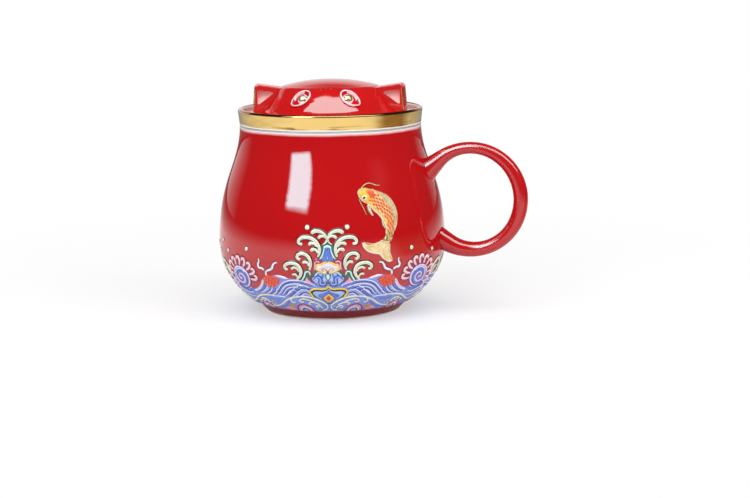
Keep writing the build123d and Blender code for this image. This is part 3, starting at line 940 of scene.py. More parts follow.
def draw_emblem():
    """Ruyi head, jewel, cloud collar and lappet in the border's middle."""
    d = Drawing("enamel_emblem", FRONT_AND_BACK)
    cloud = [
        (0, 21.6), (-0.3, 20.0), (-1.6, 19.0), (-3.6, 19.0), (-5.4, 20.2), (-7.2, 22.2), (-7.4, 23.2),
        (-5.4, 24.9), (-3.9, 26.4), (-2.4, 27.0), (0, 26.4),
    ]
    d.patch("navy", [cloud, mirrored(cloud)], 0.18)
    inner_cloud = shifted(scaled(cloud, 0.92, 0.9, 23.2), -0.1, 0)
    for side in (1, -1):
        d.patch("sky", [on_side(side, inner_cloud), on_side(side, [(-0.1, 26.0), (-0.1, 21.8)])], 0.28)
    crown = [
        (0, 30.6), (-1.6, 30.3), (-2.9, 29.4), (-4.0, 29.5), (-4.8, 28.6), (-4.8, 27.7), (-4.2, 27.1),
        (-3.2, 26.6), (-2.1, 25.9), (-1.0, 25.9), (-0.3, 26.5),
    ]
    rim = scaled(crown, 1.13, 1.3, 28.2)
    d.patch("ink", [rim, mirrored(rim)], 0.3)
    d.patch("lilac", [crown, mirrored(crown)], 0.4)
    crease = [(0, 28.4), (1.3, 28.6), (2.4, 28.2), (3.2, 27.6)]
    for side in (1, -1):
        d.stroke("yellow", on_side(side, crown), (0.9, 0.9, 0.9, 0.7), 0.62)
        d.stroke("ink", on_side(side, crease), (0.2, 0.25, 0.15), 0.46)
    hook = [(0.35, 26.4), (0.8, 27.5), (1.8, 27.8), (2.4, 27.1), (1.8, 26.6), (1.3, 27.0)]
    curl = [(1.5, 22.2), (1.2, 21.0), (2.2, 20.4), (3.3, 21.0), (3.1, 22.6), (3.5, 23.9), (5.0, 23.7)]
    for side in (1, -1):
        d.stroke("ochre", on_side(side, hook), (0.7, 0.7, 0.5), 0.6)
        for name, wide, relief in (("navy", 1.6, 0.56), ("water", 0.95, 0.74), ("lilac", 0.22, 0.8)):
            widths = (0.9 * wide, 1.5 * wide, 1.5 * wide, 1.1 * wide)
            d.stroke(name, on_side(side, curl), widths, relief)
        d.stroke("blue", on_side(side, [(6.4, 22.6), (4.9, 24.3), (3.5, 25.6)]), (0.6, 0.9, 0.6), 0.62)
        d.stroke("blue", on_side(side, [(1.9, 25.4), (2.2, 24.2), (2.3, 23.2)]), (0.9, 0.6), 0.62)
    jewel = [(-1.5, 25.4), (-1.2, 23.2), (0, 21.9)]
    d.patch("green", [jewel, mirrored(jewel), [(1.5, 25.4), (-1.5, 25.4)]], 0.36)
    shine = [(-0.8, 25.0), (-0.9, 23.6), (0, 22.3)]
    d.patch("mint", [shine, mirrored(shine), [(0.8, 25.0), (0, 25.4), (-0.8, 25.0)]], 0.52)
    left = [
        (0, 19.4), (-1.0, 18.2), (-2.6, 17.9), (-5.2, 18.0), (-7.6, 17.4), (-8.5, 16.2), (-8.0, 14.9),
        (-7.0, 13.2),
    ]
    lappet(d, "ink", left, [(-7.0, 13.2), (-4.0, 12.0), (0, 8.6)], 0.26)
    lappet(d, "sky", [
        (0, 18.4), (-1.2, 17.3), (-3.0, 16.9), (-5.4, 17.0), (-7.0, 16.5), (-7.5, 15.8), (-6.9, 14.6),
        (-6.0, 13.4),
    ], [(-6.0, 13.4), (-3.4, 12.0), (0, 9.4)], 0.38)
    for side in (1, -1):
        d.stroke("yellow", on_side(side, left), (1.0, 0.9, 1.0, 1.0), 0.62)
    lappet(d, "navy", [
        (0, 17.9), (-1.0, 16.9), (-2.8, 15.9), (-4.6, 15.3), (-5.2, 14.4), (-4.2, 13.2),
    ], [(-4.2, 13.2), (0, 10.2)], 0.44)
    lappet(d, "blue", [
        (0, 17.5), (-1.0, 16.6), (-2.7, 15.6), (-4.3, 15.1), (-4.8, 14.4), (-3.9, 13.3),
    ], [(-3.9, 13.3), (0, 10.5)], 0.5)
    for colour, wide, high, relief in (
        ("navy", 3.5, 3.4, 0.56), ("yellow", 3.0, 2.9, 0.66), ("coral", 1.9, 1.9, 0.74),
        ("pink", 0.6, 0.6, 0.8),
    ):
        d.patch(colour, diamond(13.1, wide, high), relief)
    return d


def draw_waves():
    """Blue water behind everything, with nested striped mounds."""
    d = Drawing("enamel_waves", FOUR_QUARTERS)
    d.patch("water", [
        [
            (-0.6, 20.6), (3.0, 20.2), (5.0, 20.6), (8.0, 21.6), (11.0, 22.4), (15.0, 22.6), (17.6, 23.0),
            (20.0, 23.8), (23.0, 24.0), (26.0, 23.2), (29.6, 22.0),
        ],
        [
            (29.6, 22.0), (32.0, 19.6), (35.0, 16.9), (38.6, 15.6), (42.0, 15.2), (46.5, 14.6), (51.0, 15.4),
            (54.0, 17.2), (56.0, 19.4), (60.0, 20.2), (63.0, 18.8), (67.0, 18.4), (71.0, 18.2),
            (QUARTER + 0.6, 18.8),
        ],
        [(QUARTER + 0.6, 18.8), (QUARTER + 0.6, 1.4)],
        [(QUARTER + 0.6, 1.4), (-0.6, 1.4)],
        [(-0.6, 1.4), (-0.6, 20.6)],
    ], 0.1, edge=0.2)
    striped = ("lilac", "blue", "navy", "lilac", "sky", "navy", "lilac", "blue", "navy", "lilac")
    d.fan(
        [
            (5.6, 19.6), (8.6, 21.0), (11.4, 21.8), (14.4, 22.0), (17.4, 21.6), (20.0, 20.6),
            (22.3, 18.6), (24.8, 15.8), (28.0, 13.4),
        ],
        [(14.4, 16.2), (15.4, 16.9), (16.6, 16.9), (17.6, 16.4), (18.6, 15.6), (19.4, 14.6), (20.2, 13.6)],
        striped, 0.62, 0.3,
    )
    d.fan(
        [
            (7.6, 18.6), (9.0, 19.2), (10.8, 19.6), (12.8, 19.5), (14.6, 18.6), (16.6, 16.8),
            (18.8, 14.8), (21.6, 13.0),
        ],
        [(8.8, 14.2), (9.6, 15.0), (10.6, 15.2), (11.6, 14.8), (12.4, 14.1), (13.2, 13.5), (14.0, 13.0)],
        striped[:7], 0.6, 0.36,
    )
    d.fan(
        [(30.4, 20.6), (31.6, 18.6), (33.4, 16.8), (36.0, 15.0), (39.4, 13.8)],
        [(24.6, 17.0), (24.8, 15.8), (25.6, 14.8), (26.8, 13.9), (28.4, 13.3)],
        striped, 0.58, 0.3,
    )
    d.fan(
        [(41.0, 15.8), (44.0, 14.4), (48.0, 14.6), (52.0, 15.8), (55.0, 18.0), (57.6, 19.2)],
        [(42.4, 10.4), (45.0, 9.8), (48.0, 10.2), (51.0, 11.0), (54.0, 12.2), (57.0, 13.0)],
        striped[:7], 0.6, 0.28,
    )
    d.fan(
        [(58.0, 18.6), (60.6, 19.0), (63.0, 17.8), (66.4, 17.2), (70.0, 17.0), (QUARTER, 17.8)],
        [(56.0, 11.6), (59.0, 11.4), (62.0, 10.8), (66.0, 10.6), (70.0, 10.8), (QUARTER, 11.4)],
        striped, 0.6, 0.28,
    )
    return d


def scroll(drawing, points, widths):
    """A cream stem of the low band, outlined in navy."""
    drawing.inked("cream", points, widths, 0.42, 0.3, "navy")


def draw_low_band():
    """Cream scrolls and small rainbows along the border's foot."""
    d = Drawing("enamel_low_band", FOUR_QUARTERS)
    scroll(d, [
        (0.9, 5.6), (1.0, 7.6), (2.4, 9.6), (4.9, 11.4), (8.1, 12.9), (12.3, 13.5), (16.8, 12.8),
        (21.2, 10.8), (25.0, 8.0), (29.0, 5.8), (34.2, 5.0),
    ], (0.8, 1.2, 1.2, 1.1, 0.9))
    d.inked("cream", [(0.9, 5.8), (2.0, 4.4), (4.0, 3.8)], (0.8, 0.7), 0.4, 0.2, "navy")
    tip = [(18.2, 11.9), (19.2, 10.8), (18.6, 9.4), (17.2, 9.4)]
    d.inked("cream", tip, (0.8, 1.0, 0.8), 0.44, 0.3, "navy")
    for curl in (
        [(7.4, 10.2), (9.8, 11.4), (13.0, 11.9), (14.6, 11.0), (14.0, 9.9), (12.6, 10.1)],
        [(4.4, 8.2), (6.6, 9.6), (9.2, 9.9), (10.3, 9.0), (9.2, 8.3)],
        [(3.4, 5.6), (4.8, 7.2), (6.6, 7.5), (7.0, 6.4), (5.6, 5.6)],
    ):
        scroll(d, curl, (0.7, 1.0, 0.8))
    for across, up, size in ((4.2, 4.6, 0.6), (5.6, 4.0, 0.5), (3.0, 3.4, 0.45)):
        d.bead("ochre", (across, up), size, 0.4)
    rainbow(d, 13.6, 2.0, 1.0)
    d.patch("ochre", [
        [(18.0, 5.0), (19.4, 7.0), (20.8, 8.2)],
        [(20.8, 8.2), (22.4, 6.4), (23.4, 3.6)],
        [(23.4, 3.6), (18.0, 5.0)],
    ], 0.3)
    d.patch("pink", [
        [(19.6, 4.6), (22.6, 5.8), (27.6, 3.4)],
        [(27.6, 3.4), (23.0, 2.6), (19.6, 2.8)],
        [(19.6, 2.8), (19.6, 4.6)],
    ], 0.34)
    d.stroke("blue", [(20.6, 9.6), (24.0, 6.6), (28.0, 4.2)], (0.7, 1.0, 0.7), 0.34)
    scroll(d, [
        (28.0, 13.0), (31.2, 12.7), (34.7, 12.3), (38.9, 11.0), (42.6, 9.0), (46.6, 6.9), (51.0, 5.8),
    ], (0.8, 1.2, 1.2, 0.8))
    d.stroke("lilac", [(21.6, 12.4), (25.2, 12.7), (29.0, 12.4)], (0.5, 0.7, 0.6), 0.36)
    curl = [(33.4, 7.6), (34.6, 9.4), (36.8, 10.1), (38.4, 9.2), (37.6, 8.1), (36.2, 8.4)]
    d.inked("cream", curl, (0.6, 0.9, 0.7), 0.46, 0.2)
    d.inked("cream", [(39.4, 8.6), (41.0, 8.2), (41.6, 7.2), (40.4, 6.8)], (0.5, 0.7, 0.6), 0.44, 0.2)
    for across, up, size in ((31.6, 8.6, 0.55), (32.8, 6.6, 0.6), (30.4, 7.2, 0.45), (35.2, 7.2, 0.4)):
        d.bead("yellow", (across, up), size, 0.42)
    d.stroke("blue", [(24.4, 11.0), (29.0, 10.2), (33.0, 10.8)], (0.6, 1.0, 0.6), 0.26)
    rainbow(d, 38.6, 2.0, 0.9)
    scroll(d, [
        (51.0, 5.8), (53.6, 8.4), (57.4, 10.0), (62.0, 9.6), (66.2, 7.6), (70.0, 5.6), (QUARTER, 5.0),
    ], (0.8, 1.2, 1.2, 0.9))
    scroll(d, [(55.4, 6.4), (57.6, 7.8), (60.4, 7.7), (61.2, 6.6), (59.8, 6.0)], (0.7, 1.0, 0.8))
    rainbow(d, 58.6, 2.0, 0.7)
    rainbow(d, 69.6, 1.8, 0.6)
    return d


def rainbow(drawing, middle, base, size):
    """Four nested arches with a red outline."""
    for colour, wide, high, width in (
        ("rose", 5.0, 6.4, 1.0), ("pink", 4.1, 5.2, 0.9), ("lilac", 3.1, 4.0, 0.9),
        ("green", 2.1, 2.8, 0.9), ("sky", 1.1, 1.6, 0.9),
    ):
        shoulder = base + high * 0.66 * size
        drawing.stroke(colour, [
            (middle - wide * size, base), (middle - wide * 0.72 * size, shoulder),
            (middle, base + high * size), (middle + wide * 0.72 * size, shoulder),
            (middle + wide * size, base),
        ], width * size, 0.3)


def ribbon(drawing, points, widths):
    """A pale ribbon of the knot, outlined in ink."""
    drawing.inked("lilac", points, widths, 0.44, 0.34)


def draw_knot():
    """A red basketwork block tied with ribbons, and the curled leaves beside it."""
    d = Drawing("enamel_knot", FOUR_QUARTERS)
    block = [
        [(21.0, 21.9), (23.6, 23.3), (28.2, 23.6)],
        [(28.2, 23.6), (30.4, 20.8), (30.9, 19.0)],
        [(30.9, 19.0), (28.6, 17.6), (26.0, 17.0)],
        [(26.0, 17.0), (22.8, 19.4), (21.0, 21.9)],
    ]
    d.patch("coral", block, 0.26)
    edge = outline_of(block, 0.5)
    reach = 0.62
    for row in range(5):
        for column in range(5):
            across = 22.4 + 1.55 * column + 0.5 * row
            up = 22.4 - 1.02 * row + 0.16 * column - 0.048 * column * row
            if edge_distance(np.array([(across, up)]), edge)[0] < 0.35:
                continue
            tilt = 0.55 if (row + column) % 2 else -0.2
            rise = tilt * reach
            weave = [(across - reach, up - rise), (across, up + 0.05), (across + reach, up + rise)]
            d.stroke("orange", weave, (0.5, 0.85, 0.5), 0.46)
    ribbon(d, [(27.9, 23.3), (27.8, 24.4), (27.4, 25.6)], (0.9, 1.2, 0.9))
    ribbon(d, [
        (27.2, 25.5), (25.8, 26.0), (24.2, 26.9), (23.5, 28.4), (22.4, 29.5), (21.4, 29.5),
    ], (1.0, 1.2, 1.1, 0.6))
    ribbon(d, [
        (28.2, 25.6), (29.6, 26.6), (30.9, 26.6), (31.2, 28.0), (30.4, 29.4), (30.5, 30.6),
    ], (1.0, 1.2, 1.1, 0.5))
    d.stroke("ink", [(27.3, 25.7), (28.0, 26.0), (28.5, 25.7)], (0.3, 0.5, 0.3), 0.5)
    d.patch("lilac", [
        [(16.6, 22.3), (18.8, 23.4), (21.4, 24.0), (24.6, 23.7)],
        [(24.6, 23.7), (22.0, 23.0), (19.6, 22.3), (16.6, 22.3)],
    ], 0.4)
    d.stroke("pink", [(17.6, 22.6), (20.0, 23.1), (22.4, 23.4)], (0.25, 0.5, 0.25), 0.46)
    d.patch("lilac", [
        [(30.0, 21.7), (31.2, 20.8), (33.6, 18.0), (36.9, 15.7), (41.0, 14.2)],
        [(41.0, 14.2), (36.6, 14.4), (32.8, 16.9), (31.0, 19.4), (30.0, 21.7)],
    ], 0.42)
    d.stroke("pink", [(31.0, 20.4), (33.2, 17.6), (36.8, 15.2)], (0.3, 0.5, 0.3), 0.48)
    return d


def spiral(start, end, turns, points=28, phase=0.0):
    """Points along a flat spiral from radius start to radius end."""
    share = np.linspace(0, 1, points)
    turn = phase + share * turns * 2 * math.pi
    reach = start + (end - start) * share
    return [(r * math.cos(a), r * math.sin(a)) for r, a in zip(reach, turn)]


def draw_wheel():
    """The spiral wave crest with its ring of small curls; all of it leans to the right."""
    d = Drawing("enamel_wheel", FOUR_QUARTERS)
    middle, lean, squeeze = np.array((45.0, 20.5)), math.radians(-25), 0.78

    def oval(points):
        bent = []
        for x, y in points:
            y = y * squeeze
            across = x * math.cos(lean) - y * math.sin(lean)
            up = x * math.sin(lean) + y * math.cos(lean)
            bent.append(middle + (across, up))
        return bent

    for number in range(11):
        turn = math.radians(205 - 22 * number)
        out = np.array((math.cos(turn), math.sin(turn)))
        side = np.array((out[1], -out[0]))
        curl = oval([
            out * 7.0 - side * 0.8, out * 9.6 - side * 1.3, out * 11.4 - side * 0.3, out * 11.2 + side * 1.1,
            out * 9.9 + side * 1.0,
        ])
        d.stroke("ink", curl, (2.2, 2.5, 2.7, 2.3), 0.2)
        d.stroke("rose", curl, (1.8, 2.1, 2.3, 1.9), 0.28)
        d.stroke("blush", curl, (1.0, 1.4, 1.6, 1.1), 0.44)
    for colour, radius, relief in (("navy", 7.3, 0.28), ("blush", 6.9, 0.33), ("water", 6.0, 0.38)):
        d.patch(colour, [oval(spiral(radius, radius, 1))], relief)
    d.stroke("navy", oval(spiral(0.6, 5.9, 1.8, 34, 1.0)), (0.4, 0.6), 0.5)
    d.stroke("blue", oval(spiral(0.5, 5.3, 1.8, 34, 2.0)), (1.0, 1.6, 1.8), 0.52)
    d.stroke("lilac", oval(spiral(0.4, 5.5, 1.8, 34, 4.2)), (0.5, 0.6, 0.6), 0.58)
    d.stroke("pink", oval(spiral(0.3, 3.9, 1.35, 30, 4.8)), (0.9, 1.2, 0.7), 0.56)
    swell = [(38.2, 15.6), (41.4, 14.6), (45.4, 14.3), (49.4, 14.9), (52.4, 16.8)]
    d.stroke("blue", swell, (0.6, 1.1, 1.1, 0.7), 0.42)
    return d


def droplet(drawing, across, up, radius):
    """A cream drop with a dark ring round it."""
    drawing.bead("ink", (across, up), radius + 0.28, 0.2, 16)
    drawing.bead("cream", (across, up), radius, 0.5, 16)


def draw_droplets():
    """Spray over the waves; there is less of it beside the handle."""
    d = Drawing("enamel_droplets", FOUR_QUARTERS)
    for across, up, radius in ((8.2, 44.8, 1.05), (37.4, 34.0, 1.0), (51.4, 31.6, 0.9)):
        droplet(d, across, up, radius)
    d.copies = AWAY_FROM_HANDLE
    for across, up, radius in ((57.6, 35.2, 0.8), (61.8, 30.4, 0.8), (66.0, 33.4, 0.7)):
        droplet(d, across, up, radius)
    return d


KOI_BACK = [
    (13.6, 58.9), (14.3, 59.8), (15.8, 60.3), (17.6, 60.4), (20.1, 59.9), (22.3, 58.7), (24.0, 57.0),
    (25.6, 54.9), (27.0, 52.6), (28.1, 50.2), (28.6, 47.8), (28.6, 45.4), (28.3, 43.0), (28.0, 41.0),
    (27.3, 39.1), (26.7, 37.9),
]
KOI_BELLY = [
    (23.0, 38.6), (24.1, 39.6), (24.7, 41.0), (25.0, 43.0), (24.7, 44.7), (24.0, 46.2), (23.0, 48.0),
    (21.9, 49.4), (20.2, 50.9), (18.7, 52.6), (17.2, 54.1), (15.6, 55.0), (14.5, 56.2), (13.8, 57.7),
    (13.6, 58.9),
]
KOI_FIN = [
    (22.3, 59.0), (25.1, 57.8), (27.4, 56.4), (29.1, 54.2), (30.2, 51.8), (30.7, 49.2), (30.5, 46.8),
    (29.9, 44.4), (28.5, 41.6),
]
KOI_TAIL_TOP = [(14.3, 38.1), (15.8, 36.9), (17.2, 36.5), (19.2, 36.8), (21.3, 37.7), (23.0, 38.6)]
KOI_TAIL_END = [
    (14.3, 38.1), (14.7, 36.6), (15.8, 35.2), (17.6, 34.0), (20.1, 33.3), (21.8, 32.8), (22.9, 31.3),
    (24.5, 30.1), (26.2, 29.4), (27.3, 30.0),
]
KOI_TAIL_SIDE = [(27.3, 30.0), (26.0, 31.5), (25.5, 34.0), (25.8, 36.4), (26.7, 37.9)]


def koi_scales(drawing):
    """Rows of drops across the body: orange on the back, yellow on the belly, dark at the tail."""
    upper, lower = Line(KOI_BACK[4:]), Line(KOI_BELLY[::-1][4:])
    rows, spacing = 17, 1.35
    for row in range(rows):
        share = (row + 0.5) / rows
        top, bottom = upper.point(share), lower.point(share)
        along = upper.point(share + 0.01) - top
        along = along / np.hypot(*along)
        count = max(2, int(round(np.hypot(*(top - bottom)) / spacing)))
        for number in range(count):
            part = (number + (0.75 if row % 2 else 0.25)) / count
            if not 0.08 < part < 0.94:
                continue
            place = bottom * (1 - part) + top * part
            if row > rows - 4:
                colour = "slate" if (row + number) % 2 else "ochre"
            else:
                colour = "orange" if part > 0.22 else "yellow"
            thick = row < rows - 4
            reach = along * (0.72 if thick else 0.62)
            widths = (0.6, 1.15, 0.8) if thick else 0.75
            drawing.stroke(colour, [place - reach, place + reach], widths, 0.8, 0.4)


def draw_koi():
    """A leaping carp with orange scales."""
    d = Drawing("enamel_koi", ONCE)
    across = [KOI_BACK[-1], KOI_BELLY[0]]
    body = [KOI_BACK, across, KOI_BELLY]
    tail = [KOI_TAIL_TOP, across[::-1], KOI_TAIL_SIDE[::-1], KOI_TAIL_END[::-1]]
    d.patch("ink", [shifted(KOI_BACK, 0.2, 0.25), across, shifted(KOI_BELLY, -0.25, -0.2)], 0.14)
    d.patch("ink", [
        shifted(tail[0], 0, 0.2), tail[1], shifted(tail[2], 0.25, 0), shifted(tail[3], -0.1, -0.3),
    ], 0.12)
    d.patch("straw", tail, 0.36, edge=0.15)
    root = np.array((25.2, 38.4))
    for end in KOI_TAIL_END:
        way = np.array(end) - root
        side = np.array((-way[1], way[0])) * (0.09 if end[0] < 21 else -0.05)
        ray = [root + way * 0.12, root + way * 0.5 + side, root + way * 0.96]
        d.stroke("cream", ray, (0.15, 0.3, 0.3), 0.44)
    d.stroke("straw", [(14.8, 37.8), (16.2, 36.8), (18.8, 36.6), (21.6, 37.5)], (0.7, 1.3, 1.4), 0.46)
    d.stroke("straw", [(26.7, 30.8), (26.1, 32.4), (25.9, 34.6), (26.2, 36.8)], (0.7, 1.1, 0.8), 0.44)
    d.stroke("cream", KOI_TAIL_END, (0.5, 0.8, 0.7, 0.6, 0.5), 0.52)
    d.stroke("cream", KOI_TAIL_TOP, (0.3, 0.3), 0.5)
    d.patch("silver", [KOI_FIN, KOI_BACK[5:13][::-1] + KOI_FIN[:1]], 0.3)
    fin, spine = Line(KOI_FIN), Line(KOI_BACK[5:14])
    for share in np.linspace(0.08, 0.92, 12):
        outer, inner = fin.point(share), spine.point(share)
        d.stroke("ochre", [inner, outer * 0.92 + inner * 0.08], (0.22, 0.16), 0.36)
    d.stroke("straw", KOI_FIN, (0.25, 0.45, 0.45, 0.25), 0.42)
    d.patch("straw", body, 0.4)
    koi_scales(d)
    d.stroke("cream", KOI_BELLY[2:11], (0.3, 0.6, 0.6, 0.3), 0.56)
    d.stroke("straw", KOI_BACK[4:], (0.4, 0.4, 0.3), 0.56)
    gill = [(20.1, 59.9), (20.9, 57.8), (20.4, 55.4), (18.0, 53.4)]
    d.patch("yellow", [KOI_BACK[:5], gill, [(18.0, 53.4), *KOI_BELLY[10:]]], 0.62)
    d.patch("orange", [
        [(16.6, 59.3), (18.6, 59.9), (20.6, 59.3)],
        [(20.6, 59.3), (21.2, 57.6), (20.6, 55.6)],
        [(20.6, 55.6), (19.2, 55.9), (17.9, 57.4), (16.6, 59.3)],
    ], 0.76)
    d.stroke("cream", KOI_BACK[:4], (0.4, 0.5, 0.3), 0.7)
    d.stroke("cream", KOI_BELLY[10:], (0.4, 0.5, 0.4), 0.7)
    for colour, place, radius, relief in (
        ("cream", (16.3, 56.5), 1.5, 0.88), ("black", (16.1, 56.4), 1.0, 1.0),
        ("white", (16.4, 56.1), 0.36, 1.08), ("white", (15.7, 56.8), 0.22, 1.06),
    ):
        d.bead(colour, place, radius, relief, 14)
    whisker = [(15.3, 60.5), (17.4, 62.0), (19.1, 62.4), (21.0, 61.9), (22.7, 61.3), (24.3, 61.2)]
    d.inked("straw", whisker, (0.5, 0.5, 0.5, 0.3), 0.44, 0.15)
    d.inked("straw", [(13.8, 56.0), (14.6, 54.2), (15.6, 51.9), (16.6, 49.4)], (0.3, 0.35, 0.2), 0.4, 0.12)
    d.inked("silver", [(17.6, 53.4), (17.9, 51.4), (19.2, 48.9)], (1.0, 1.2, 0.6), 0.44, 0.2)
    d.stroke("cream", [(18.3, 52.6), (18.7, 50.6), (19.5, 48.9)], (0.3, 0.5, 0.4), 0.52)
    d.inked("silver", [(23.5, 46.8), (23.7, 45.0), (24.6, 43.2)], (0.6, 0.9, 0.4), 0.42, 0.15)
    return d


# ---- the cat's face ---------------------------------------------------------------
def eye_place(along, up):
    """A place given from the middle of the eye on the handle's side."""
    return (EYE_ALONG + along, EYE_UP + up)


def draw_eyes():
    """Painted highlights in pale enamel along the eyes' ridges, a second lash above and a ring round the
    gilded pupil, and a white painted highlight on the pupil.
    """
    d = Drawing("eyes", LEFT_AND_RIGHT, on_lid)
    upper = [(-3.5, 3.5), (-2.3, 4.2), (-0.4, 4.0), (1.7, 2.9), (3.2, 1.0), (3.8, -1.4), (3.5, -3.1)]
    lower = [(-y, -x) for x, y in reversed(upper)]
    outline = [eye_place(x * 0.93, y * 0.93) for x, y in upper + lower]
    # painted highlight: pale enamel along the ridge's outline
    d.stroke("blush", outline, 0.85, 0.2)
    lash = [eye_place(x * 0.56 + 0.35, y * 0.56 + 0.4) for x, y in upper[1:]]
    # painted highlight along the second lash
    d.stroke("blush", lash, (0.4, 0.9, 0.9, 0.4), 0.4)
    pupil = eye_place(PUPIL_SHIFT, -0.1)
    # the pale ring round the pupil is a painted highlight; the slate ring and the gold bead are the pupil
    # itself
    for colour, radius, relief in (("blush", 2.4, 0.3), ("slate", 2.1, 0.5), ("gold", 1.85, 0.85)):
        d.bead(colour, pupil, radius, relief, 18)
    # a white painted highlight on the pupil
    d.bead("white", pupil, 0.95, 1.05)
    return d


def draw_forehead():
    """Three thin gold strokes on top of the head, only seen edge on in the photo."""
    d = Drawing("forehead_strokes", ONCE, on_lid)
    foot = 14.4
    for along, reach in ((-2.6, 1.8), (0.0, 2.4), (2.6, 1.8)):
        d.stroke("gold", [(along, foot), (along * 0.9, foot + reach)], (0.3, 0.6, 0.3), 0.06)
    return d


def ear_line(side):
    """Rings of points round a line down the outer edge of the front of the ear on one side."""
    low, high = BRIM_TOP + 0.4, BRIM_TOP + EAR_HEIGHT - 1.6
    points = []
    for row in range(EAR_LINE_ROWS):
        share = row / (EAR_LINE_ROWS - 1)
        height = low + (high - low) * share
        rim = EAR_FOOT_RADIUS + (EAR_TIP_RADIUS - EAR_FOOT_RADIUS) * (height - BRIM_TOP) / EAR_HEIGHT
        reach = math.sqrt(rim ** 2 - EAR_FRONT ** 2) - EAR_LINE_INSET
        thick = EAR_LINE_RADIUS * math.sqrt(math.sin(math.pi * (0.04 + 0.92 * share)))
        for corner in range(EAR_LINE_SIDES):
            turn = 2 * math.pi * corner / EAR_LINE_SIDES
            place = across_face() * side * (reach + thick * math.cos(turn))
            place += out_of_face() * (EAR_FRONT - EAR_LINE_SINK + thick * math.sin(turn))
            points.append((place + Vector((0, 0, height))) * MM)
    return points


def gild_ears():
    """A gold line on each ear."""
    faces = closed_tube(EAR_LINE_ROWS, EAR_LINE_SIDES)
    for name, side in (("ear_line_right", 1), ("ear_line_left", -1)):
        mesh = bpy.data.meshes.new(name)
        mesh.from_pydata(ear_line(side), [], faces if side < 0 else [face[::-1] for face in faces])
        mesh.materials.append(ENAMEL_MATERIALS["gold"])
        mesh.polygons.foreach_set("use_smooth", [True] * len(mesh.polygons))
        piece = add_object(name, mesh)
        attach(piece, "lid")


# ---- studio -------------------------------------------------------------------
def turned_view(vector):
    """A direction or place given as the camera sees it, turned into the part's frame."""
    return Matrix.Rotation(math.radians(VIEW_TURN), 3, "Z") @ Vector(vector)


def make_camera():
    """The camera that was fitted to the photo's mug."""
    yaw, pitch, roll = (math.radians(a) for a in (VIEW_YAW, VIEW_PITCH, VIEW_ROLL))
    ahead = Vector((
        math.sin(yaw) * math.cos(pitch),
        math.cos(yaw) * math.cos(pitch),
        -math.sin(pitch),
    ))
    right = Vector((math.cos(yaw), -math.sin(yaw), 0))
    up = right.cross(ahead)
    level = right * math.cos(roll) + up * math.sin(roll)
    upright = up * math.cos(roll) - right * math.sin(roll)
    axes = [turned_view(v) for v in (level, upright, -ahead)]
    data = bpy.data.cameras.new("camera")
    data.sensor_width = SENSOR
    data.lens = SENSOR * FOCAL_PIXELS / IMAGE_WIDTH
    camera = add_object("camera", data)
    place = turned_view((0, -VIEW_DISTANCE * MM, VIEW_HEIGHT * MM))
    camera.matrix_world = Matrix.Translation(place) @ Matrix(axes).transposed().to_4x4()
    bpy.context.scene.camera = camera


def direction(azimuth, elevation):
    """The way to a lamp, as azimuth from the camera's side of the mug and elevation."""
    turn, lift = math.radians(azimuth), math.radians(elevation)
    return turned_view((
        math.sin(turn) * math.cos(lift),
        -math.cos(turn) * math.cos(lift),
        math.sin(lift),
    ))


def make_light(name, azimuth, elevation, distance, width, height, strength):
    """A soft box facing the mug; the glazes don't mirror it, as the world draws what they do."""
    out = direction(azimuth, elevation)
    data = bpy.data.lights.new(name, "AREA")
    data.shape = "RECTANGLE"
    data.size = width
    data.size_y = height
    data.energy = strength * width * height * math.pi
    lamp = add_object(name, data)
    lamp.location = out * distance + Vector((0, 0, LAMP_AIM))
    lamp.rotation_mode = "QUATERNION"
    lamp.rotation_quaternion = out.to_track_quat("Z", "Y")
    lamp.visible_glossy = False


def mirrored_box(graph, towards, azimuth, elevation, wide, high, edge):
    """Share of a soft-edged box; wide and high are the tangents of its half angles."""
    out, side = direction(azimuth, elevation), direction(azimuth + 90, 0)
    up = out.cross(side)
    facing = graph.math("MAXIMUM", graph.dot(towards, out), 0.02)
    across = graph.math("ABSOLUTE", graph.math("DIVIDE", graph.dot(towards, side), facing))
    along = graph.math("ABSOLUTE", graph.math("DIVIDE", graph.dot(towards, up), facing))
    return graph.math(
        "MULTIPLY",
        graph.span(across, wide + edge, wide - edge),
        graph.span(along, high + edge, high - edge),
    )


def mirrored_ceiling(graph, towards):
    """Share of the overhead panel, which is narrower at its far end."""
    rise = graph.math("MAXIMUM", graph.dot(towards, Vector((0, 0, 1))), 0.02)
    across = graph.math("DIVIDE", graph.dot(towards, turned_view((1, 0, 0))), rise)
    away = graph.math("DIVIDE", graph.dot(towards, turned_view((0, 1, 0))), rise)
    half = graph.span(away, *PANEL_WIDENS, *PANEL_HALF)
    beside = graph.math("ABSOLUTE", graph.math("SUBTRACT", across, PANEL_MIDDLE))
    sides = graph.span(graph.math("SUBTRACT", half, beside), -PANEL_SOFT, PANEL_SOFT)
    corner = graph.math("SUBTRACT", away, graph.math("MULTIPLY", beside, PANEL_SKEW))
    ends = graph.math("MULTIPLY", graph.span(corner, *PANEL_FAR), graph.span(away, *PANEL_NEAR))
    return graph.math("MULTIPLY", sides, ends)


def mirrored_backdrop(graph, towards):
    """White paper behind the mug, up to a soft upper edge, in an otherwise dark room."""
    behind = graph.dot(towards, direction(BACKDROP_TURN, 0))
    rise = graph.dot(towards, Vector((0, 0, 1)))
    share = graph.math("MULTIPLY", graph.span(behind, *BACKDROP_SIDES), graph.span(rise, *BACKDROP_TOP))
    return graph.span(share, 0.0, 1.0, *DARK_AND_BRIGHT)


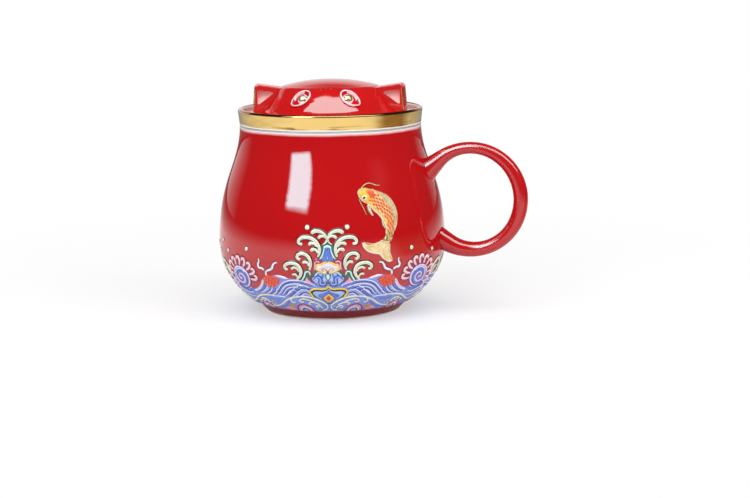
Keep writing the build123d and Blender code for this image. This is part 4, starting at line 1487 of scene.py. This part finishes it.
def make_world():
    """What the glazes mirror, even light for everything else and white paper for the camera."""
    world = bpy.data.worlds.new("studio")
    bpy.context.scene.world = world
    world.use_nodes = True
    graph = Graph(world.node_tree)
    graph.tree.nodes.clear()
    out = graph.add("ShaderNodeOutputWorld")
    paths = graph.add("ShaderNodeLightPath")
    towards = graph.add("ShaderNodeTexCoord").outputs["Generated"]
    total = graph.glow(WHITE, mirrored_backdrop(graph, towards))
    for share, (colour, strength) in (
        (mirrored_box(graph, towards, *STRIP), STRIP_GLOW),
        (mirrored_ceiling(graph, towards), PANEL_GLOW),
        (mirrored_box(graph, towards, *WINDOW), WINDOW_GLOW),
    ):
        both = graph.add("ShaderNodeAddShader")
        graph.link(total, both.inputs[0])
        graph.link(graph.glow(colour, graph.math("MULTIPLY", share, strength)), both.inputs[1])
        total = both.outputs[0]
    rest = graph.choose(paths.outputs["Is Glossy Ray"], graph.glow(WHITE, AMBIENT), total)
    seen = graph.choose(paths.outputs["Is Camera Ray"], rest, graph.glow(WHITE, 1.0))
    graph.link(seen, out.inputs["Surface"])


def mirrored_paper(nodes, radius):
    """The paper as the glazes mirror it: dimmer with distance, and brown beside the mug."""
    fading = nodes.math("POWER", nodes.math("DIVIDE", PAPER_REACH, radius), 1.5)
    across = nodes.math("DIVIDE", nodes.dot(nodes.place, turned_view((1, 0, 0))), radius)
    aside = nodes.math("DIVIDE", nodes.dot(nodes.place, direction(BROWN_TURN, 0)), radius)
    dimmed = nodes.math("MULTIPLY", fading, nodes.span(across, *PAPER_RIGHT))
    glow = nodes.glow(WHITE, nodes.math("MINIMUM", dimmed, PAPER_BRIGHTEST))
    brown = nodes.blend(nodes.span(aside, *BROWN_WEDGE), WHITE, BROWN)
    nodes.link(brown, glow.node.inputs["Color"])
    return glow


def make_floor():
    """White paper: mildly shadowed for the camera, lit near the mug, and its own light in mirrors."""
    mesh = bpy.data.meshes.new("floor")
    edge = FLOOR_HALF
    corners = [(-edge, -edge, 0), (edge, -edge, 0), (edge, edge, 0), (-edge, edge, 0)]
    mesh.from_pydata(corners, [], [(0, 1, 2, 3)])
    floor = add_object("floor", mesh)
    nodes = Nodes("floor_paper")
    nodes.set(Base_Color=PAPER, Roughness=0.9, Specular_IOR_Level=0.0)
    paths = nodes.add("ShaderNodeLightPath")
    radius = nodes.radius()
    lit = nodes.shader.outputs[0]
    far_off = nodes.choose(nodes.span(radius, *MIRRORED_FROM), lit, mirrored_paper(nodes, radius))
    lifted = nodes.choose(SHADOW_LIFT, lit, nodes.glow(WHITE, 1.3))
    seen = nodes.choose(nodes.span(radius, *PLAIN_FROM), lifted, nodes.glow(WHITE, 1.0))
    total = nodes.choose(paths.outputs["Is Glossy Ray"], lit, far_off)
    total = nodes.choose(paths.outputs["Is Camera Ray"], total, seen)
    nodes.link(total, nodes.tree.nodes["Material Output"].inputs["Surface"])
    mesh.materials.append(nodes.material)


# ---- putting it together --------------------------------------------------------
dress("mug_body", mug_glaze())
dress("handle", handle_glaze())
dress("infuser", infuser_finish())
dress("lid", lid_glaze())

ENAMEL_MATERIALS = {name: enamel(name) for name in ENAMELS}
ENAMEL_MATERIALS["gold"] = gold_lustre()
for draw in (
    draw_waves, draw_low_band, draw_cliffs, draw_peak, draw_emblem, draw_foam, draw_knot, draw_wheel,
    draw_droplets, draw_koi,
):
    draw().make("mug", "mug_body")
for draw in (draw_eyes, draw_forehead):
    draw().make("lid", "lid")
gild_ears()

make_floor()
make_world()
make_camera()
for lamp in LAMPS:
    make_light(*lamp)

scene = bpy.context.scene
scene.view_settings.view_transform = "Standard"
